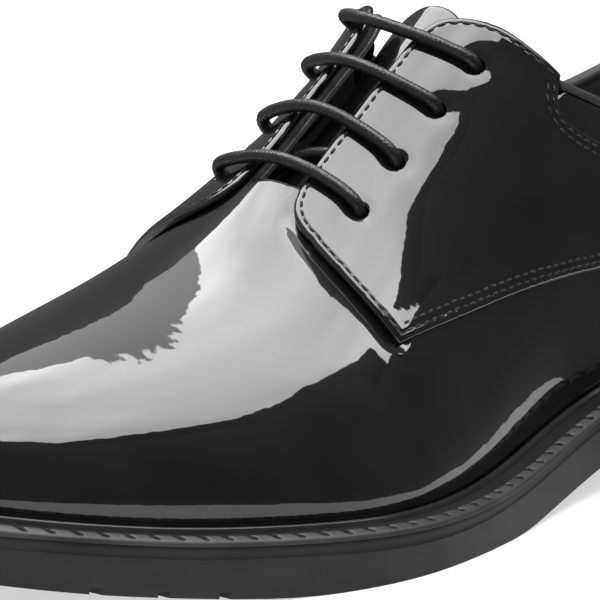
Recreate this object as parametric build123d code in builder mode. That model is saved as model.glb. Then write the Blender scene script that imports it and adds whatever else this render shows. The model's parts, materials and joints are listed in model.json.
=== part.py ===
from build123d import *
import math
import os
import numpy as np

# Left dress shoe: plain-toe, open-laced (derby) upper on a notched storm welt.
#
# Built the way it is lasted: every leather panel is a slice of one lasted skin, cut out by its
# pattern, and the bottom is a stack of slabs that follow the feather line.
# +X runs to the toe, +Y to the outer (lateral) side, +Z up.  Pattern numbers are measured from
# the back of the heel; ORIGIN moves them to the middle of the sole.

os.makedirs("parts", exist_ok=True)

# ---------------------------------------------------------------- driving dimensions (mm)
ORIGIN = (148.0, 0.9)  # heel frame point that lies under the middle of the sole
REACH = 90  # half width of every side-view cutter, wider than the shoe
TALL = 140  # height of every plan-view cutter

LEATHER = 1.3  # upper leather
STAY = 0.8  # puff, counter and facing stays
LINING = 1.0  # lining leather

WELT_WIDTH = 7.9  # beyond the feather line
SOLE_WIDTH = 7.0
WELT_TOP = -0.65  # heights from the feather line
WELT_BOTTOM = -1.9
MIDSOLE_BOTTOM = -4.8
INSOLE_TOP = 1.6
SOCK_TOP = 3.4
HEEL_BREAST = 83.0
TOP_LIFT = 6.0
TREAD_DEPTH = 1.2

LACE = 2.8  # lace diameter
EYELET_HOLE = 4.2
PUNCH = 12  # length of the punch that makes it
AGLET = 3.2

# ---------------------------------------------------------------- the last
MID_Y = -1.0  # the ridge and the toe section lie in this plane
# feather x, feather y, and the x of the ridge point that its section climbs to
HEEL = (5, 0, 40)
LATERAL = [
    (14, 21, 42), (32, 30.5, 48), (62, 33, 66), (95, 33.5, 95), (130, 35, 130), (160, 42, 158),
    (186, 48.5, 181), (212, 50, 203), (238, 41.5, 219), (262, 30, 231), (281, 17, 237),
]
TOE = (291, MID_Y, 239)
MEDIAL = [
    (276, -23, 237), (256, -37, 231), (236, -45, 221), (214, -48.5, 207), (190, -47, 186),
    (162, -38.5, 161), (130, -30, 130), (95, -28.5, 95), (62, -30, 66), (32, -29, 48),
    (14, -20, 42),
]
# heights and fullness along x
RIDGE_Z = [
    (38, 124), (66, 124), (95, 121.5), (130, 111.5), (150, 96), (161, 88), (172, 79.5),
    (186, 69), (207, 57.5), (222, 52.5), (240, 48.5),
]
FEATHER_Z = [
    (-8, 32), (40, 32), (80, 28.5), (110, 23), (140, 17), (172, 12), (225, 12.5), (250, 14.5),
    (270, 17.5), (302, 23.5),
]
# underside of the outsole: heel seat and waist, then flat on the ground, then the toe spring
WAIST_Z = [(-8, 22.5), (40, 22), (80, 19), (100, 14), (120, 8.5), (140, 4), (155, 1.4), (172, 0)]
TOE_SPRING_Z = [(225, 0), (250, 1.9), (270, 4.8), (287, 8), (302, 11.2)]
WALL_RISE = [(0, 0.55), (60, 0.5), (100, 0.45), (150, 0.42), (200, 0.5), (240, 0.55), (300, 0.6)]
WALL_BULGE = [(0, 7), (60, 5), (100, 3), (150, 3), (200, 3), (240, 3), (300, 3)]
CROWN = [
    (0, 0.85), (60, 0.85), (100, 0.85), (130, 0.93), (145, 0.72), (160, 0.48), (180, 0.4),
    (200, 0.48), (240, 0.55), (300, 0.6),
]


class Cubic:
    """Natural or closed C2 cubic through rows of values at rising knots."""

    def __init__(self, knots, values, closed=False):
        self.t = np.asarray(knots, float)
        self.v = np.asarray(values, float)
        self.h = np.diff(self.t)
        n = len(self.t)
        last_row = n - 1
        matrix = np.zeros((n, n))
        right = np.zeros_like(self.v)
        for i in range(1, last_row):
            before, after = self.h[i - 1], self.h[i]
            matrix[i, i - 1:i + 2] = before, 2 * (before + after), after
            slope_after = (self.v[i + 1] - self.v[i]) / after
            right[i] = 6 * (slope_after - (self.v[i] - self.v[i - 1]) / before)
        matrix[0, 0] = 1
        if closed:
            first, final = self.h[0], self.h[-1]
            matrix[0, last_row] = -1
            matrix[last_row, [0, 1]] = 2 * first, first
            matrix[last_row, [last_row - 1, last_row]] = final, 2 * final
            slope_after = (self.v[1] - self.v[0]) / first
            right[last_row] = 6 * (slope_after - (self.v[-1] - self.v[-2]) / final)
        else:
            matrix[last_row, last_row] = 1
        self.c = np.linalg.solve(matrix, right)

    def __call__(self, x):
        x = np.asarray(x, float)
        i = np.clip(np.searchsorted(self.t, x, side="right") - 1, 0, len(self.h) - 1)
        h = self.h[i]
        a = (self.t[i + 1] - x) / h
        b = 1 - a
        if self.v.ndim > 1:
            a, b, h = a[..., None], b[..., None], h[..., None]
        bend = ((a**3 - a) * self.c[i] + (b**3 - b) * self.c[i + 1]) * h**2 / 6
        return a * self.v[i] + b * self.v[i + 1] + bend


def along_x(pairs):
    return Cubic([p[0] for p in pairs], [p[1] for p in pairs])


ridge_z, feather_z = along_x(RIDGE_Z), along_x(FEATHER_Z)
wall_rise, wall_bulge, crown = along_x(WALL_RISE), along_x(WALL_BULGE), along_x(CROWN)

stations = np.array([HEEL] + LATERAL + [TOE] + MEDIAL + [HEEL], float)
steps = np.diff(stations[:, :2], axis=0)
station_u = np.concatenate([[0], np.cumsum(np.hypot(steps[:, 0], steps[:, 1]))])
plan = Cubic(station_u, stations, closed=True)
LOOP = station_u[-1]


def section(u):
    """The four control points of the last's section that starts at feather length u."""
    x, y, ridge_x = np.moveaxis(plan(np.mod(u, LOOP)), -1, 0)
    foot = np.stack([x, y, feather_z(x)], -1)
    top = np.stack([ridge_x, np.full_like(x, MID_Y), ridge_z(ridge_x)], -1)
    out = foot[..., :2] - top[..., :2]
    width = np.linalg.norm(out, axis=-1)
    out = out / width[..., None]
    rise = top[..., 2] - foot[..., 2]
    ridge_slope = ridge_z(ridge_x + 0.5) - ridge_z(ridge_x - 0.5)
    bulge = wall_bulge(x)
    wall = foot + np.stack([out[..., 0] * bulge, out[..., 1] * bulge, wall_rise(x) * rise], -1)
    reach = width * crown(x)
    level = ridge_slope * out[..., 0]
    brow = top + np.stack([out[..., 0], out[..., 1], level], -1) * reach[..., None]
    return foot, wall, brow, top


def last_point(u, t):
    """Point of the last: t is 0 at the feather line, 1 on the ridge; below 0 it runs straight."""
    foot, wall, brow, top = section(u)
    t = np.asarray(t)[..., None]
    b = np.maximum(t, 0)
    a = 1 - b
    curve = a**3 * foot + 3 * a * a * b * wall + 3 * a * b * b * brow + b**3 * top
    return curve + 3 * (wall - foot) * np.minimum(t, 0)


# plan limits of the sheet, a few millimetres outside the feather line
SHEET_LEFT = along_x([
    (-5, 27), (14, 31), (32, 35.5), (62, 38), (95, 38.5), (130, 40), (160, 47), (186, 54),
    (212, 55.5), (238, 48), (262, 41), (299, 34),
])
SHEET_RIGHT = along_x([
    (-5, -26), (14, -30), (32, -34.5), (62, -35), (95, -33.5), (130, -35), (162, -43.5),
    (190, -52.5), (214, -54), (236, -51), (256, -46), (276, -41), (299, -35),
])
SHEET_BACK, SHEET_FRONT = -4, 299
SHEET_ROWS, SHEET_COLUMNS = 76, 51


def skin_grid():
    """The last as one sheet of points; its rows run across the shoe."""
    u = np.linspace(0, LOOP, 1441)
    foot, _, _, top = section(u)
    half = int(np.argmax(foot[:, 0]))
    sides = {+1: slice(0, half + 1), -1: slice(half, len(u))}
    where = np.zeros((SHEET_ROWS, SHEET_COLUMNS, 2))
    for i, x in enumerate(np.linspace(SHEET_BACK, SHEET_FRONT, SHEET_ROWS)):
        for j, y in enumerate(np.linspace(SHEET_RIGHT(x), SHEET_LEFT(x), SHEET_COLUMNS)):
            part = sides[1 if y >= MID_Y else -1]
            f, r = foot[part, :2], top[part, :2]
            ray, away = f - r, np.array([x, y]) - r
            turn = ray[:, 0] * away[:, 1] - ray[:, 1] * away[:, 0]
            ahead = (ray * away).sum(1) > 0
            crossing = np.nonzero((turn[:-1] * turn[1:] <= 0) & ahead[:-1])[0]
            k = crossing[0] if len(crossing) else int(np.argmin(np.abs(turn)))
            k = min(k, len(turn) - 2)
            share = turn[k] / (turn[k] - turn[k + 1]) if turn[k] != turn[k + 1] else 0
            share = min(max(share, 0), 1)
            f, r = f[k] + share * (f[k + 1] - f[k]), r[k] + share * (r[k + 1] - r[k])
            t = 1 - math.dist((x, y), r) / math.dist(f, r)
            where[i, j] = u[part][k] + share * (u[1] - u[0]), t
    return last_point(where[..., 0], where[..., 1])


SHEET = skin_grid()
NORMALS = np.cross(np.gradient(SHEET, axis=0), np.gradient(SHEET, axis=1))
NORMALS /= np.linalg.norm(NORMALS, axis=-1, keepdims=True)


def skin(level):
    """The sheet as a face, moved out along its normals by level."""
    points = SHEET + level * NORMALS - np.array([*ORIGIN, 0])
    rows = [[Vector(*p) for p in row] for row in points]
    return Face.make_surface_from_array_of_points(rows, tol=0.1, smoothing=(1, 1, 1), max_deg=6)


def ply(outer, inner):
    """Closed solid between two faces with matching edges."""
    walls = []
    for edge in outer.edges():
        twin = inner.edges().sort_by(lambda e: (e.center() - edge.center()).length)[0]
        walls.append(Face.make_surface_from_curves(edge, twin))
    return Solid(Shell([outer, inner] + walls))


# faces of the plies, from the outside in
FACE_LEVEL = LEATHER
STAY_LEVEL = -LEATHER
LINING_LEVEL = STAY_LEVEL - STAY
INSIDE_LEVEL = LINING_LEVEL - LINING
quarter_skin, vamp_skin = skin(FACE_LEVEL), skin(0)
stay_skin, lining_skin, inside_skin = skin(STAY_LEVEL), skin(LINING_LEVEL), skin(INSIDE_LEVEL)
QUARTER_PLY = ply(quarter_skin, vamp_skin)
VAMP_PLY = ply(vamp_skin, stay_skin)
STAY_PLY = ply(stay_skin, lining_skin)
LINING_PLY = ply(lining_skin, inside_skin)
COLLAR_PLY = ply(vamp_skin, inside_skin)

# drawing planes whose local numbers are heel-frame x, z and x, y
SIDE = Plane(origin=(-ORIGIN[0], -ORIGIN[1], 0), x_dir=(1, 0, 0), z_dir=(0, -1, 0))
PLAN = Plane(origin=(-ORIGIN[0], -ORIGIN[1], 0))
BACK, FRONT, LOW, WIDE = -15, 312, -5, 75  # beyond the shoe on every side


def keep(plane, curves, corners):
    """Keep what lies inside an outline: curves end to end, closed through the corners."""
    with BuildSketch(plane) as outline:
        with BuildLine():
            for points in curves:
                Spline(*points)
            Polyline(curves[-1][-1], *corners, curves[0][0])
        make_face()
    extrude(outline.sketch, amount=TALL, both=True, mode=Mode.INTERSECT)


def keep_beside(line, far):
    """Keep what lies between a line in side view and the far end, at any height."""
    near, other = (TALL, LOW) if line[-1][1] > line[0][1] else (LOW, TALL)
    ends = [(line[-1][0], near), (far, near), (far, other), (line[0][0], other)]
    keep(SIDE, [line], ends)


def keep_above_feather(height=WELT_TOP):
    line = [(x, z + height) for x, z in FEATHER_Z]
    ends = [(FRONT, line[-1][1]), (FRONT, TALL), (BACK, TALL), (BACK, line[0][1])]
    keep(SIDE, [line], ends)


def finish(piece, name):
    piece.part.label = name
    export_step(piece.part, f"parts/{name}.step")
    print(name, round(piece.part.volume), len(piece.part.solids()), piece.part.is_valid)


# ---------------------------------------------------------------- pattern lines (heel frame)
# side view, x and z
LOWER_SEAM = [
    (198, 41.4), (192, 42.1), (180, 43.4), (166, 44.7), (152, 46), (138, 46.6), (124, 46.4),
    (108, 45.2), (92, 43.2), (80, 41),
]
REAR_SEAM = [
    (80, 41), (86, 52), (96, 60.5), (108, 67), (121, 73.2), (127, 76.4), (129.8, 78.8),
    (130.8, 81.2), (130.2, 83.6), (128.4, 87),
]
TOPLINE = [
    (-12, 93), (4, 90), (15, 84.5), (30, 77.5), (50, 72), (70, 70.5), (90, 73.2),
    (105, 77.6), (117, 82), (128.4, 87),
]
WING_LINE = [
    (64, 26), (72, 34), (80, 42), (90, 49.5), (104, 53.2), (130, 54.5), (160, 56), (176, 60.5),
    (184, 68), (187, 80),
]
HEEL_PANEL_FRONT = [
    (63.6, 26), (71.6, 34.2), (79.6, 42.4), (89.8, 49.9), (104, 53.6), (113, 55), (124, 60),
    (133, 69), (136, 78), (128, 84),
]
LINING_SEAM = [(187, 80), (183, 62), (170, 40), (150, 8)]
COUNTER_LINE = [(-12, 78), (10, 77), (40, 67), (62, 51), (76, 20)]
PUFF_LINE = [(226, 60), (236, 40), (234, 5)]
STAY_LINE = [(186, 50), (160, 62), (134, 74)]
# plan view of the lateral quarter, x and y: front edge, facing and the arc over its top
FACING = [
    (192, 41), (193.8, 35.5), (194.6, 30), (194.6, 24), (193.6, 17.5), (191.5, 12), (188, 8.8),
    (183, 7.4), (176, 6.9), (165, 6.8), (152, 6.8), (147.5, 7.6), (144, 9.7), (140.5, 14),
    (137, 19), (132.5, 25), (128.4, 28.4),
]
FACING_MID_Y = 0.4  # the two facings mirror about this line
CORNER = REAR_SEAM[-1]
BINDING = 2.5  # height of the collar binding
BACKSTAY_FOOT = 0.9  # it ends just above the bead of the heel rand
BACKSTAY_X, BACKSTAY_LENGTH, BACKSTAY_WIDTH = 5, 50, 17
EYELETS = {
    1: [(181.4, 20.2), (168.4, 18.6), (155.2, 18.3), (144.5, 19.6)],
    -1: [(181.4, -16.5), (168.4, -15.5), (155.2, -14.5), (144.5, -13.5)],
}


def mirrored(points, side):
    return [(x, y if side > 0 else 2 * FACING_MID_Y - y) for x, y in points]


def keep_below_topline(drop=0.0):
    line = [(x, z - drop) for x, z in TOPLINE]
    ends = [(CORNER[0], TALL), (FRONT, TALL), (FRONT, LOW), (BACK, LOW), (BACK, line[0][1])]
    keep(SIDE, [line], ends)


def keep_behind_facing(side, inner=20):
    """Behind the facing edge of one side, and further out than inner."""
    ends = [(CORNER[0], inner), (BACK, inner), (BACK, WIDE), (FACING[0][0], WIDE)]
    keep(PLAN, [mirrored(FACING, side)], mirrored(ends, side))


def keep_half(side):
    with BuildSketch(PLAN) as half:
        with BuildLine():
            Polyline((BACK, MID_Y), (FRONT, MID_Y), (FRONT, MID_Y + side * WIDE),
                     (BACK, MID_Y + side * WIDE), close=True)
        make_face()
    extrude(half.sketch, amount=TALL, both=True, mode=Mode.INTERSECT)


TOE_U = station_u[len(LATERAL) + 1]
cloud_u = {
    1: np.meshgrid(np.linspace(1, TOE_U - 1, 350), np.linspace(0.3, 0.995, 90), indexing="ij"),
    -1: np.meshgrid(np.linspace(TOE_U + 1, LOOP - 1, 350), np.linspace(0.3, 0.995, 90),
                    indexing="ij"),
}
cloud = {side: last_point(*cloud_u[side]) for side in cloud_u}


def on_last(x, y):
    """Point and outward normal of the last above a plan point near the ridge."""
    side = 1 if y >= MID_Y else -1
    nearest = np.argmin((cloud[side][..., 0] - x) ** 2 + (cloud[side][..., 1] - y) ** 2)
    guess = np.array([grid.ravel()[nearest] for grid in cloud_u[side]])
    for _ in range(6):
        here = last_point(guess[0], guess[1])
        along = (last_point(guess[0] + 0.05, guess[1]) - here) / 0.05
        across = (last_point(guess[0], guess[1] + 1e-4) - here) / 1e-4
        pull = np.linalg.solve(np.array([along[:2], across[:2]]).T, np.array([x, y]) - here[:2])
        guess = np.array([guess[0] + pull[0], min(guess[1] + pull[1], 1.0)])
    normal = np.cross(along, across)
    normal *= np.sign(normal[2]) / np.linalg.norm(normal)
    return last_point(guess[0], guess[1]), normal


def off_last(x, y, level):
    """Point at a height over the last, in the model's own frame."""
    point, normal = on_last(x, y)
    return Vector(*(point + level * normal - np.array([*ORIGIN, 0])))


def punch_eyelets(side):
    for x, y in EYELETS[side]:
        _, normal = on_last(x, y)
        with Locations(Plane(origin=off_last(x, y, 0), z_dir=Vector(*normal))):
            Cylinder(EYELET_HOLE / 2, PUNCH, mode=Mode.SUBTRACT)


# ---------------------------------------------------------------- upper
with BuildPart() as vamp:
    add(VAMP_PLY)
    keep_above_feather()
    keep_beside(WING_LINE, FRONT)
finish(vamp, "vamp")

with BuildPart() as vamp_lining:
    add(LINING_PLY)
    keep_above_feather()
    keep_beside(LINING_SEAM, FRONT)
finish(vamp_lining, "vamp_lining")

with BuildPart() as toe_puff:
    add(STAY_PLY)
    keep_above_feather()
    keep_beside(PUFF_LINE, FRONT)
finish(toe_puff, "toe_puff")

with BuildPart() as heel_counter:
    add(STAY_PLY)
    keep_above_feather()
    keep(SIDE, [COUNTER_LINE], [(COUNTER_LINE[-1][0], LOW), (BACK, LOW), (BACK, COUNTER_LINE[0][1])])
finish(heel_counter, "heel_counter")

with BuildPart() as collar_binding:
    add(COLLAR_PLY)
    keep_below_topline()
    drop = [(x, z - BINDING) for x, z in TOPLINE]
    keep(SIDE, [drop], [(CORNER[0], TALL), (BACK, TALL), (BACK, drop[0][1])])
finish(collar_binding, "collar_binding")

with BuildPart() as backstay:
    add(QUARTER_PLY)
    keep_above_feather(BACKSTAY_FOOT)
    keep_below_topline(BINDING)
    with BuildSketch(PLAN):
        with Locations((BACKSTAY_X, MID_Y)):
            Rectangle(BACKSTAY_LENGTH, BACKSTAY_WIDTH)
    extrude(amount=TALL, both=True, mode=Mode.INTERSECT)
finish(backstay, "backstay")

for side, word in ((1, "lateral"), (-1, "medial")):
    with BuildPart() as quarter:
        add(QUARTER_PLY)
        keep(SIDE, [LOWER_SEAM, REAR_SEAM], [(CORNER[0], TALL), (LOWER_SEAM[0][0], TALL)])
        keep_behind_facing(side)
        punch_eyelets(side)
    finish(quarter, f"{word}_quarter")

    with BuildPart() as heel_panel:
        add(VAMP_PLY)
        keep_half(side)
        keep_above_feather()
        keep_below_topline(BINDING)
        keep_beside(HEEL_PANEL_FRONT, BACK)
    finish(heel_panel, f"{word}_heel_panel")

    with BuildPart() as quarter_lining:
        add(LINING_PLY)
        keep_half(side)
        keep_above_feather()
        keep_below_topline(BINDING)
        keep_beside(LINING_SEAM, BACK)
        keep_behind_facing(side, 0)
        punch_eyelets(side)
    finish(quarter_lining, f"{word}_quarter_lining")

    with BuildPart() as facing_stay:
        add(STAY_PLY)
        keep_half(side)
        keep(SIDE, [STAY_LINE], [(STAY_LINE[-1][0], TALL), (STAY_LINE[0][0], TALL)])
        keep_behind_facing(side)
        punch_eyelets(side)
    finish(facing_stay, f"{word}_facing_stay")

# ---------------------------------------------------------------- tongue
TONGUE_FRONT, TONGUE_BACK = 189, 138  # plan x of its stitched end and of its free end
TONGUE_HALF = [(136, 18.5), (145, 20), (165, 22), (180, 20), (192, 15)]
TONGUE_UNDER_VAMP = INSIDE_LEVEL - 0.9
TONGUE_UNDER_LACE = INSIDE_LEVEL - LACE - 1.5
TONGUE_DROP = 8.0  # length over which it dives under the lace
TONGUE_ROUNDING = 4.0  # how far the corners of the free end are drawn back
TONGUE_ROWS, TONGUE_COLUMNS = 22, 15
TONGUE_TILT = 12.0  # degrees it can be pushed down into the empty shoe
tongue_half = along_x(TONGUE_HALF)


def tongue_skin(depth):
    rows = []
    for share in np.linspace(0, 1, TONGUE_ROWS):
        row = []
        for across in np.linspace(-1, 1, TONGUE_COLUMNS):
            back = TONGUE_BACK + TONGUE_ROUNDING * across**2
            x = TONGUE_FRONT + share * (back - TONGUE_FRONT)
            dive = min((TONGUE_FRONT - x) / TONGUE_DROP, 1)
            dive = dive * dive * (3 - 2 * dive)
            level = TONGUE_UNDER_VAMP + dive * (TONGUE_UNDER_LACE - TONGUE_UNDER_VAMP)
            y = FACING_MID_Y + across * float(tongue_half(x))
            row.append(off_last(x, y, level - depth))
        rows.append(row)
    return Face.make_surface_from_array_of_points(rows, tol=0.1, smoothing=(1, 1, 1), max_deg=6)


tongue_top, tongue_middle = tongue_skin(0), tongue_skin(LEATHER)
tongue_under = tongue_skin(LEATHER + LINING)
with BuildPart() as tongue:
    add(ply(tongue_top, tongue_middle))
finish(tongue, "tongue")

with BuildPart() as tongue_lining:
    add(ply(tongue_middle, tongue_under))
finish(tongue_lining, "tongue_lining")

hinge = off_last(TONGUE_FRONT, FACING_MID_Y, TONGUE_UNDER_VAMP - (LEATHER + LINING) / 2)
print("tongue hinge", hinge, "tilt", TONGUE_TILT)


# ---------------------------------------------------------------- bottom
def rim(width, count=64):
    """Points of the feather line moved outwards in plan."""
    u = np.linspace(0, LOOP, count, endpoint=False)
    here, ahead = plan(u)[:, :2], plan(u + 0.5)[:, :2]
    along = ahead - here
    along /= np.linalg.norm(along, axis=1, keepdims=True)
    outward = np.stack([-along[:, 1], along[:, 0]], -1)
    return [tuple(p) for p in here + width * outward]


def rim_face(width):
    with BuildSketch(PLAN) as outline:
        with BuildLine():
            Spline(*rim(width), periodic=True)
        make_face()
    return outline.sketch


def parallel(height):
    return [(x, z + height) for x, z in FEATHER_Z]


def feather_slab(width, top, bottom, start=BACK, end=FRONT, height=60):
    """Slab inside a rim, between two heights from the feather line."""
    extrude(rim_face(width), amount=height)
    between(parallel(top), parallel(bottom))
    keep_length(start, end)


def between(top, bottom):
    with BuildSketch(SIDE) as profile:
        with BuildLine():
            Spline(*top)
            Line(top[-1], bottom[-1])
            Spline(*bottom[::-1])
            Line(bottom[0], top[0])
        make_face()
    extrude(profile.sketch, amount=TALL, both=True, mode=Mode.INTERSECT)


def keep_length(start, end):
    with BuildSketch(SIDE) as profile:
        with BuildLine():
            Polyline((start, LOW), (end, LOW), (end, TALL), (start, TALL), close=True)
        make_face()
    extrude(profile.sketch, amount=TALL, both=True, mode=Mode.INTERSECT)


RIM_GAP = 0.3  # between the upper and the welt bead that hugs it
BEAD_WIDTH, BEAD_HEIGHT = 1.5, 0.5
WELT_BACK = 70  # the welt ends here and the heel rand goes on
FILLER_WIDTH = -0.1
INSOLE_WIDTH = -3.6
HEEL_WIDTH = 6.0
SHANK_LENGTH, SHANK_WIDTH, SHANK_X = 104, 14, 89
SHANK_TOP, SHANK_BOTTOM = -0.8, -1.8
NAILS = [(24, -1), (37, 15), (37, -15), (60, 15.5), (60, -15.5)]
NAIL_RADIUS, NAIL_BOTTOM, NAIL_TOP = 1.2, 10, 25
TREAD_BARS = [247.7, 259, 271]
TREAD_BAR_WIDTH = 2.2
toe_spring = along_x(TOE_SPRING_Z)


def nail_holes(bottom=NAIL_BOTTOM):
    with BuildSketch(PLAN.offset(bottom)) as holes:
        with Locations(*NAILS):
            Circle(NAIL_RADIUS)
    extrude(holes.sketch, amount=NAIL_TOP - bottom, mode=Mode.SUBTRACT)


for word, start, end in (("welt", WELT_BACK, FRONT), ("heel_rand", BACK, WELT_BACK)):
    with BuildPart() as bead:
        feather_slab(RIM_GAP + BEAD_WIDTH, BEAD_HEIGHT, WELT_TOP, start, end)
        extrude(rim_face(RIM_GAP), amount=60, mode=Mode.SUBTRACT)
    with BuildPart() as welt:
        feather_slab(WELT_WIDTH, WELT_TOP, WELT_BOTTOM, start, end)
        extrude(rim_face(RIM_GAP), amount=60, mode=Mode.SUBTRACT)
        add(bead.part)
    finish(welt, word)

with BuildPart() as shank:
    with BuildSketch(PLAN) as strip:
        with Locations((SHANK_X, 0)):
            SlotOverall(SHANK_LENGTH, SHANK_WIDTH)
    extrude(strip.sketch, amount=60)
    between(parallel(SHANK_TOP), parallel(SHANK_BOTTOM))
finish(shank, "shank")

with BuildPart() as bottom_filler:
    feather_slab(FILLER_WIDTH, WELT_TOP, WELT_BOTTOM)
    add(shank.part, mode=Mode.SUBTRACT)
finish(bottom_filler, "bottom_filler")

with BuildPart() as insole_board:
    feather_slab(INSOLE_WIDTH, INSOLE_TOP, WELT_TOP)
finish(insole_board, "insole_board")

with BuildPart() as sock_liner:
    feather_slab(INSOLE_WIDTH, SOCK_TOP, INSOLE_TOP)
finish(sock_liner, "sock_liner")

with BuildPart() as midsole:
    feather_slab(SOLE_WIDTH, WELT_BOTTOM, MIDSOLE_BOTTOM)
finish(midsole, "midsole")

with BuildPart() as outsole:
    extrude(rim_face(SOLE_WIDTH), amount=60)
    top = parallel(MIDSOLE_BOTTOM)
    with BuildSketch(SIDE) as profile:
        with BuildLine():
            Spline(*top)
            Line(top[-1], TOE_SPRING_Z[-1])
            Spline(*TOE_SPRING_Z[::-1], tangents=[(-15, -3.4), (-1, 0)])
            Line(TOE_SPRING_Z[0], WAIST_Z[-1])
            Spline(*WAIST_Z, tangents=[(1, 0), (1, 0)])
            Line(WAIST_Z[0], top[0])
        make_face()
    extrude(profile.sketch, amount=TALL, both=True, mode=Mode.INTERSECT)
    for x in TREAD_BARS:
        with Locations((x - ORIGIN[0], 0, toe_spring(x))):
            Box(TREAD_BAR_WIDTH, 2 * REACH, 2 * TREAD_DEPTH, mode=Mode.SUBTRACT)
    nail_holes()
finish(outsole, "outsole")

with BuildPart() as heel_block:
    with BuildSketch(PLAN.offset(TOP_LIFT)) as outline:
        with BuildLine():
            Spline(*rim(HEEL_WIDTH), periodic=True)
        make_face()
    extrude(outline.sketch, amount=30)
    with BuildSketch(SIDE) as profile:
        with BuildLine():
            Spline(*WAIST_Z, tangents=[(1, 0), (1, 0)])
            Polyline(WAIST_Z[-1], (HEEL_BREAST + 90, LOW), (BACK, LOW), (BACK, 22.5), WAIST_Z[0])
        make_face()
    extrude(profile.sketch, amount=TALL, both=True, mode=Mode.INTERSECT)
    keep_length(BACK, HEEL_BREAST)
    nail_holes()
finish(heel_block, "heel_block")

with BuildPart() as heel_top_lift:
    extrude(rim_face(HEEL_WIDTH), amount=TOP_LIFT)
    keep_length(BACK, HEEL_BREAST)
    edges = heel_top_lift.edges().group_by(Axis.Z)[0]
    chamfer(edges, 0.8)
finish(heel_top_lift, "heel_top_lift")

with BuildPart() as heel_nails:
    with BuildSketch(PLAN.offset(NAIL_BOTTOM)) as shanks:
        with Locations(*NAILS):
            Circle(NAIL_RADIUS)
    extrude(shanks.sketch, amount=NAIL_TOP - NAIL_BOTTOM)
finish(heel_nails, "heel_nails")


# ---------------------------------------------------------------- lace
LACE_CLEAR = 0.35
BAR_LEVEL = FACE_LEVEL + LACE / 2 + LACE_CLEAR
LOOP_LEVEL = BAR_LEVEL + 0.8  # the medial ends stand a little proud
RISER_LEVEL = INSIDE_LEVEL - LACE / 2 - LACE_CLEAR
BOW = [0.8, 1.9, 4.6, 5.8]  # how far each crossing sags down the slope, towards the toe
LOOP_RUN = 4.5  # from the medial eyelet to the top of the loop
# plan y, share of the bow and height of a crossing between the loop and the lateral eyelet
CROSSING = [(-3, 0.9, BAR_LEVEL), (4, 1, BAR_LEVEL), (12, 0.65, BAR_LEVEL)]
DIAGONAL = [(173, 6.5), (174.5, -7)]  # plan points of the run that changes sides inside
SIDE_RUN = [(172, 23.6), (160, 24.2), (149, 24.2)]  # and of the run back up the lateral side


def heel_frame(point):
    return Vector(point[0] - ORIGIN[0], point[1] - ORIGIN[1], point[2])


def at_eyelet(row, side, level):
    x, y = EYELETS[side][row]
    return off_last(x, y, level)


def bar(row):
    """One crossing over the facings, from the medial eyelet to the lateral one."""
    x, y = EYELETS[-1][row]
    loop = [off_last(x + 0.5 * BOW[row], y + LOOP_RUN, LOOP_LEVEL)]
    loop += [off_last(x + share * BOW[row], y, level) for y, share, level in CROSSING]
    return [at_eyelet(row, -1, LOOP_LEVEL)] + loop + [at_eyelet(row, 1, BAR_LEVEL)]


def inside_run(row, side):
    return at_eyelet(row, side, RISER_LEVEL)


# where the held lace ends and its loose tails begin: both runs there lie in one line
LATERAL_END = [(139.5, 20.2, 84.4), (136, 22.6, 81.1)]
MEDIAL_END = [(138.4, -18.2, 84.2), (135.4, -19.7, 81.2)]
lace_points = [heel_frame(p) for p in MEDIAL_END[::-1]]
lace_points += [inside_run(3, -1)] + bar(3) + [inside_run(3, 1)]
lace_points += [inside_run(2, 1)] + bar(2)[::-1] + [inside_run(2, -1)]
lace_points += [inside_run(1, -1)] + bar(1) + [inside_run(1, 1)]
lace_points += [off_last(x, y, RISER_LEVEL) for x, y in DIAGONAL]
lace_points += [inside_run(0, -1)] + bar(0) + [inside_run(0, 1)]
lace_points += [off_last(x, y, RISER_LEVEL) for x, y in SIDE_RUN]
lace_points += [heel_frame(p) for p in LATERAL_END]


def tube(points, diameter, least):
    """Solid along straight runs joined by arcs as large as the runs allow."""
    radii = []
    for before, here, after in zip(points, points[1:], points[2:]):
        half_turn = math.radians((here - before).get_angle(after - here)) / 2
        short = min((here - before).length, (after - here).length)
        radii.append(round(max(0.45 * short / math.tan(half_turn), least), 2))
    print("radii", radii)
    with BuildPart() as body:
        with BuildLine() as route:
            path = FilletPolyline(*points, radius=radii)
        with BuildSketch(Plane(origin=path @ 0, z_dir=path % 0)) as ring:
            Circle(diameter / 2)
        sweep(ring.sketch, path)
    section_area = math.pi * diameter**2 / 4
    print("length", path.length, "volume over section x length",
          body.part.volume / (section_area * path.length))
    return body, path


lace, lace_path = tube(lace_points, LACE, 1.5)
finish(lace, "lace")

LATERAL_TAIL = [
    (136, 22.6, 81.1), (132.3, 25.14, 77.61), (120, 27.2, 68.5), (105, 28, 56.5), (91, 27.9, 44.5),
    (77, 26.2, 36.6), (60, 22, 36), (45, 15.5, 37), (32, 7, 37.4),
]
MEDIAL_TAIL = [
    (135.4, -19.7, 81.2), (130, -22.4, 75.8), (116, -23.2, 66), (102, -23.5, 54.5),
    (89.5, -23.4, 43.5), (77, -22.2, 36.6), (64, -19.6, 35.9), (52, -16.5, 36.6),
]
AGLET_LENGTH = 20
for points, word in ((LATERAL_TAIL, "lateral"), (MEDIAL_TAIL, "medial")):
    route_points = [heel_frame(p) for p in points]
    tail, tail_path = tube(route_points, LACE, 3 * LACE)
    finish(tail, f"{word}_lace_tail")
    with BuildPart() as aglet:
        with BuildSketch(Plane(origin=tail_path @ 1, z_dir=tail_path % 1)) as ring:
            Circle(AGLET / 2)
        extrude(ring.sketch, amount=AGLET_LENGTH)
    finish(aglet, f"{word}_aglet")
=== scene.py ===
import json
import math

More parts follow.
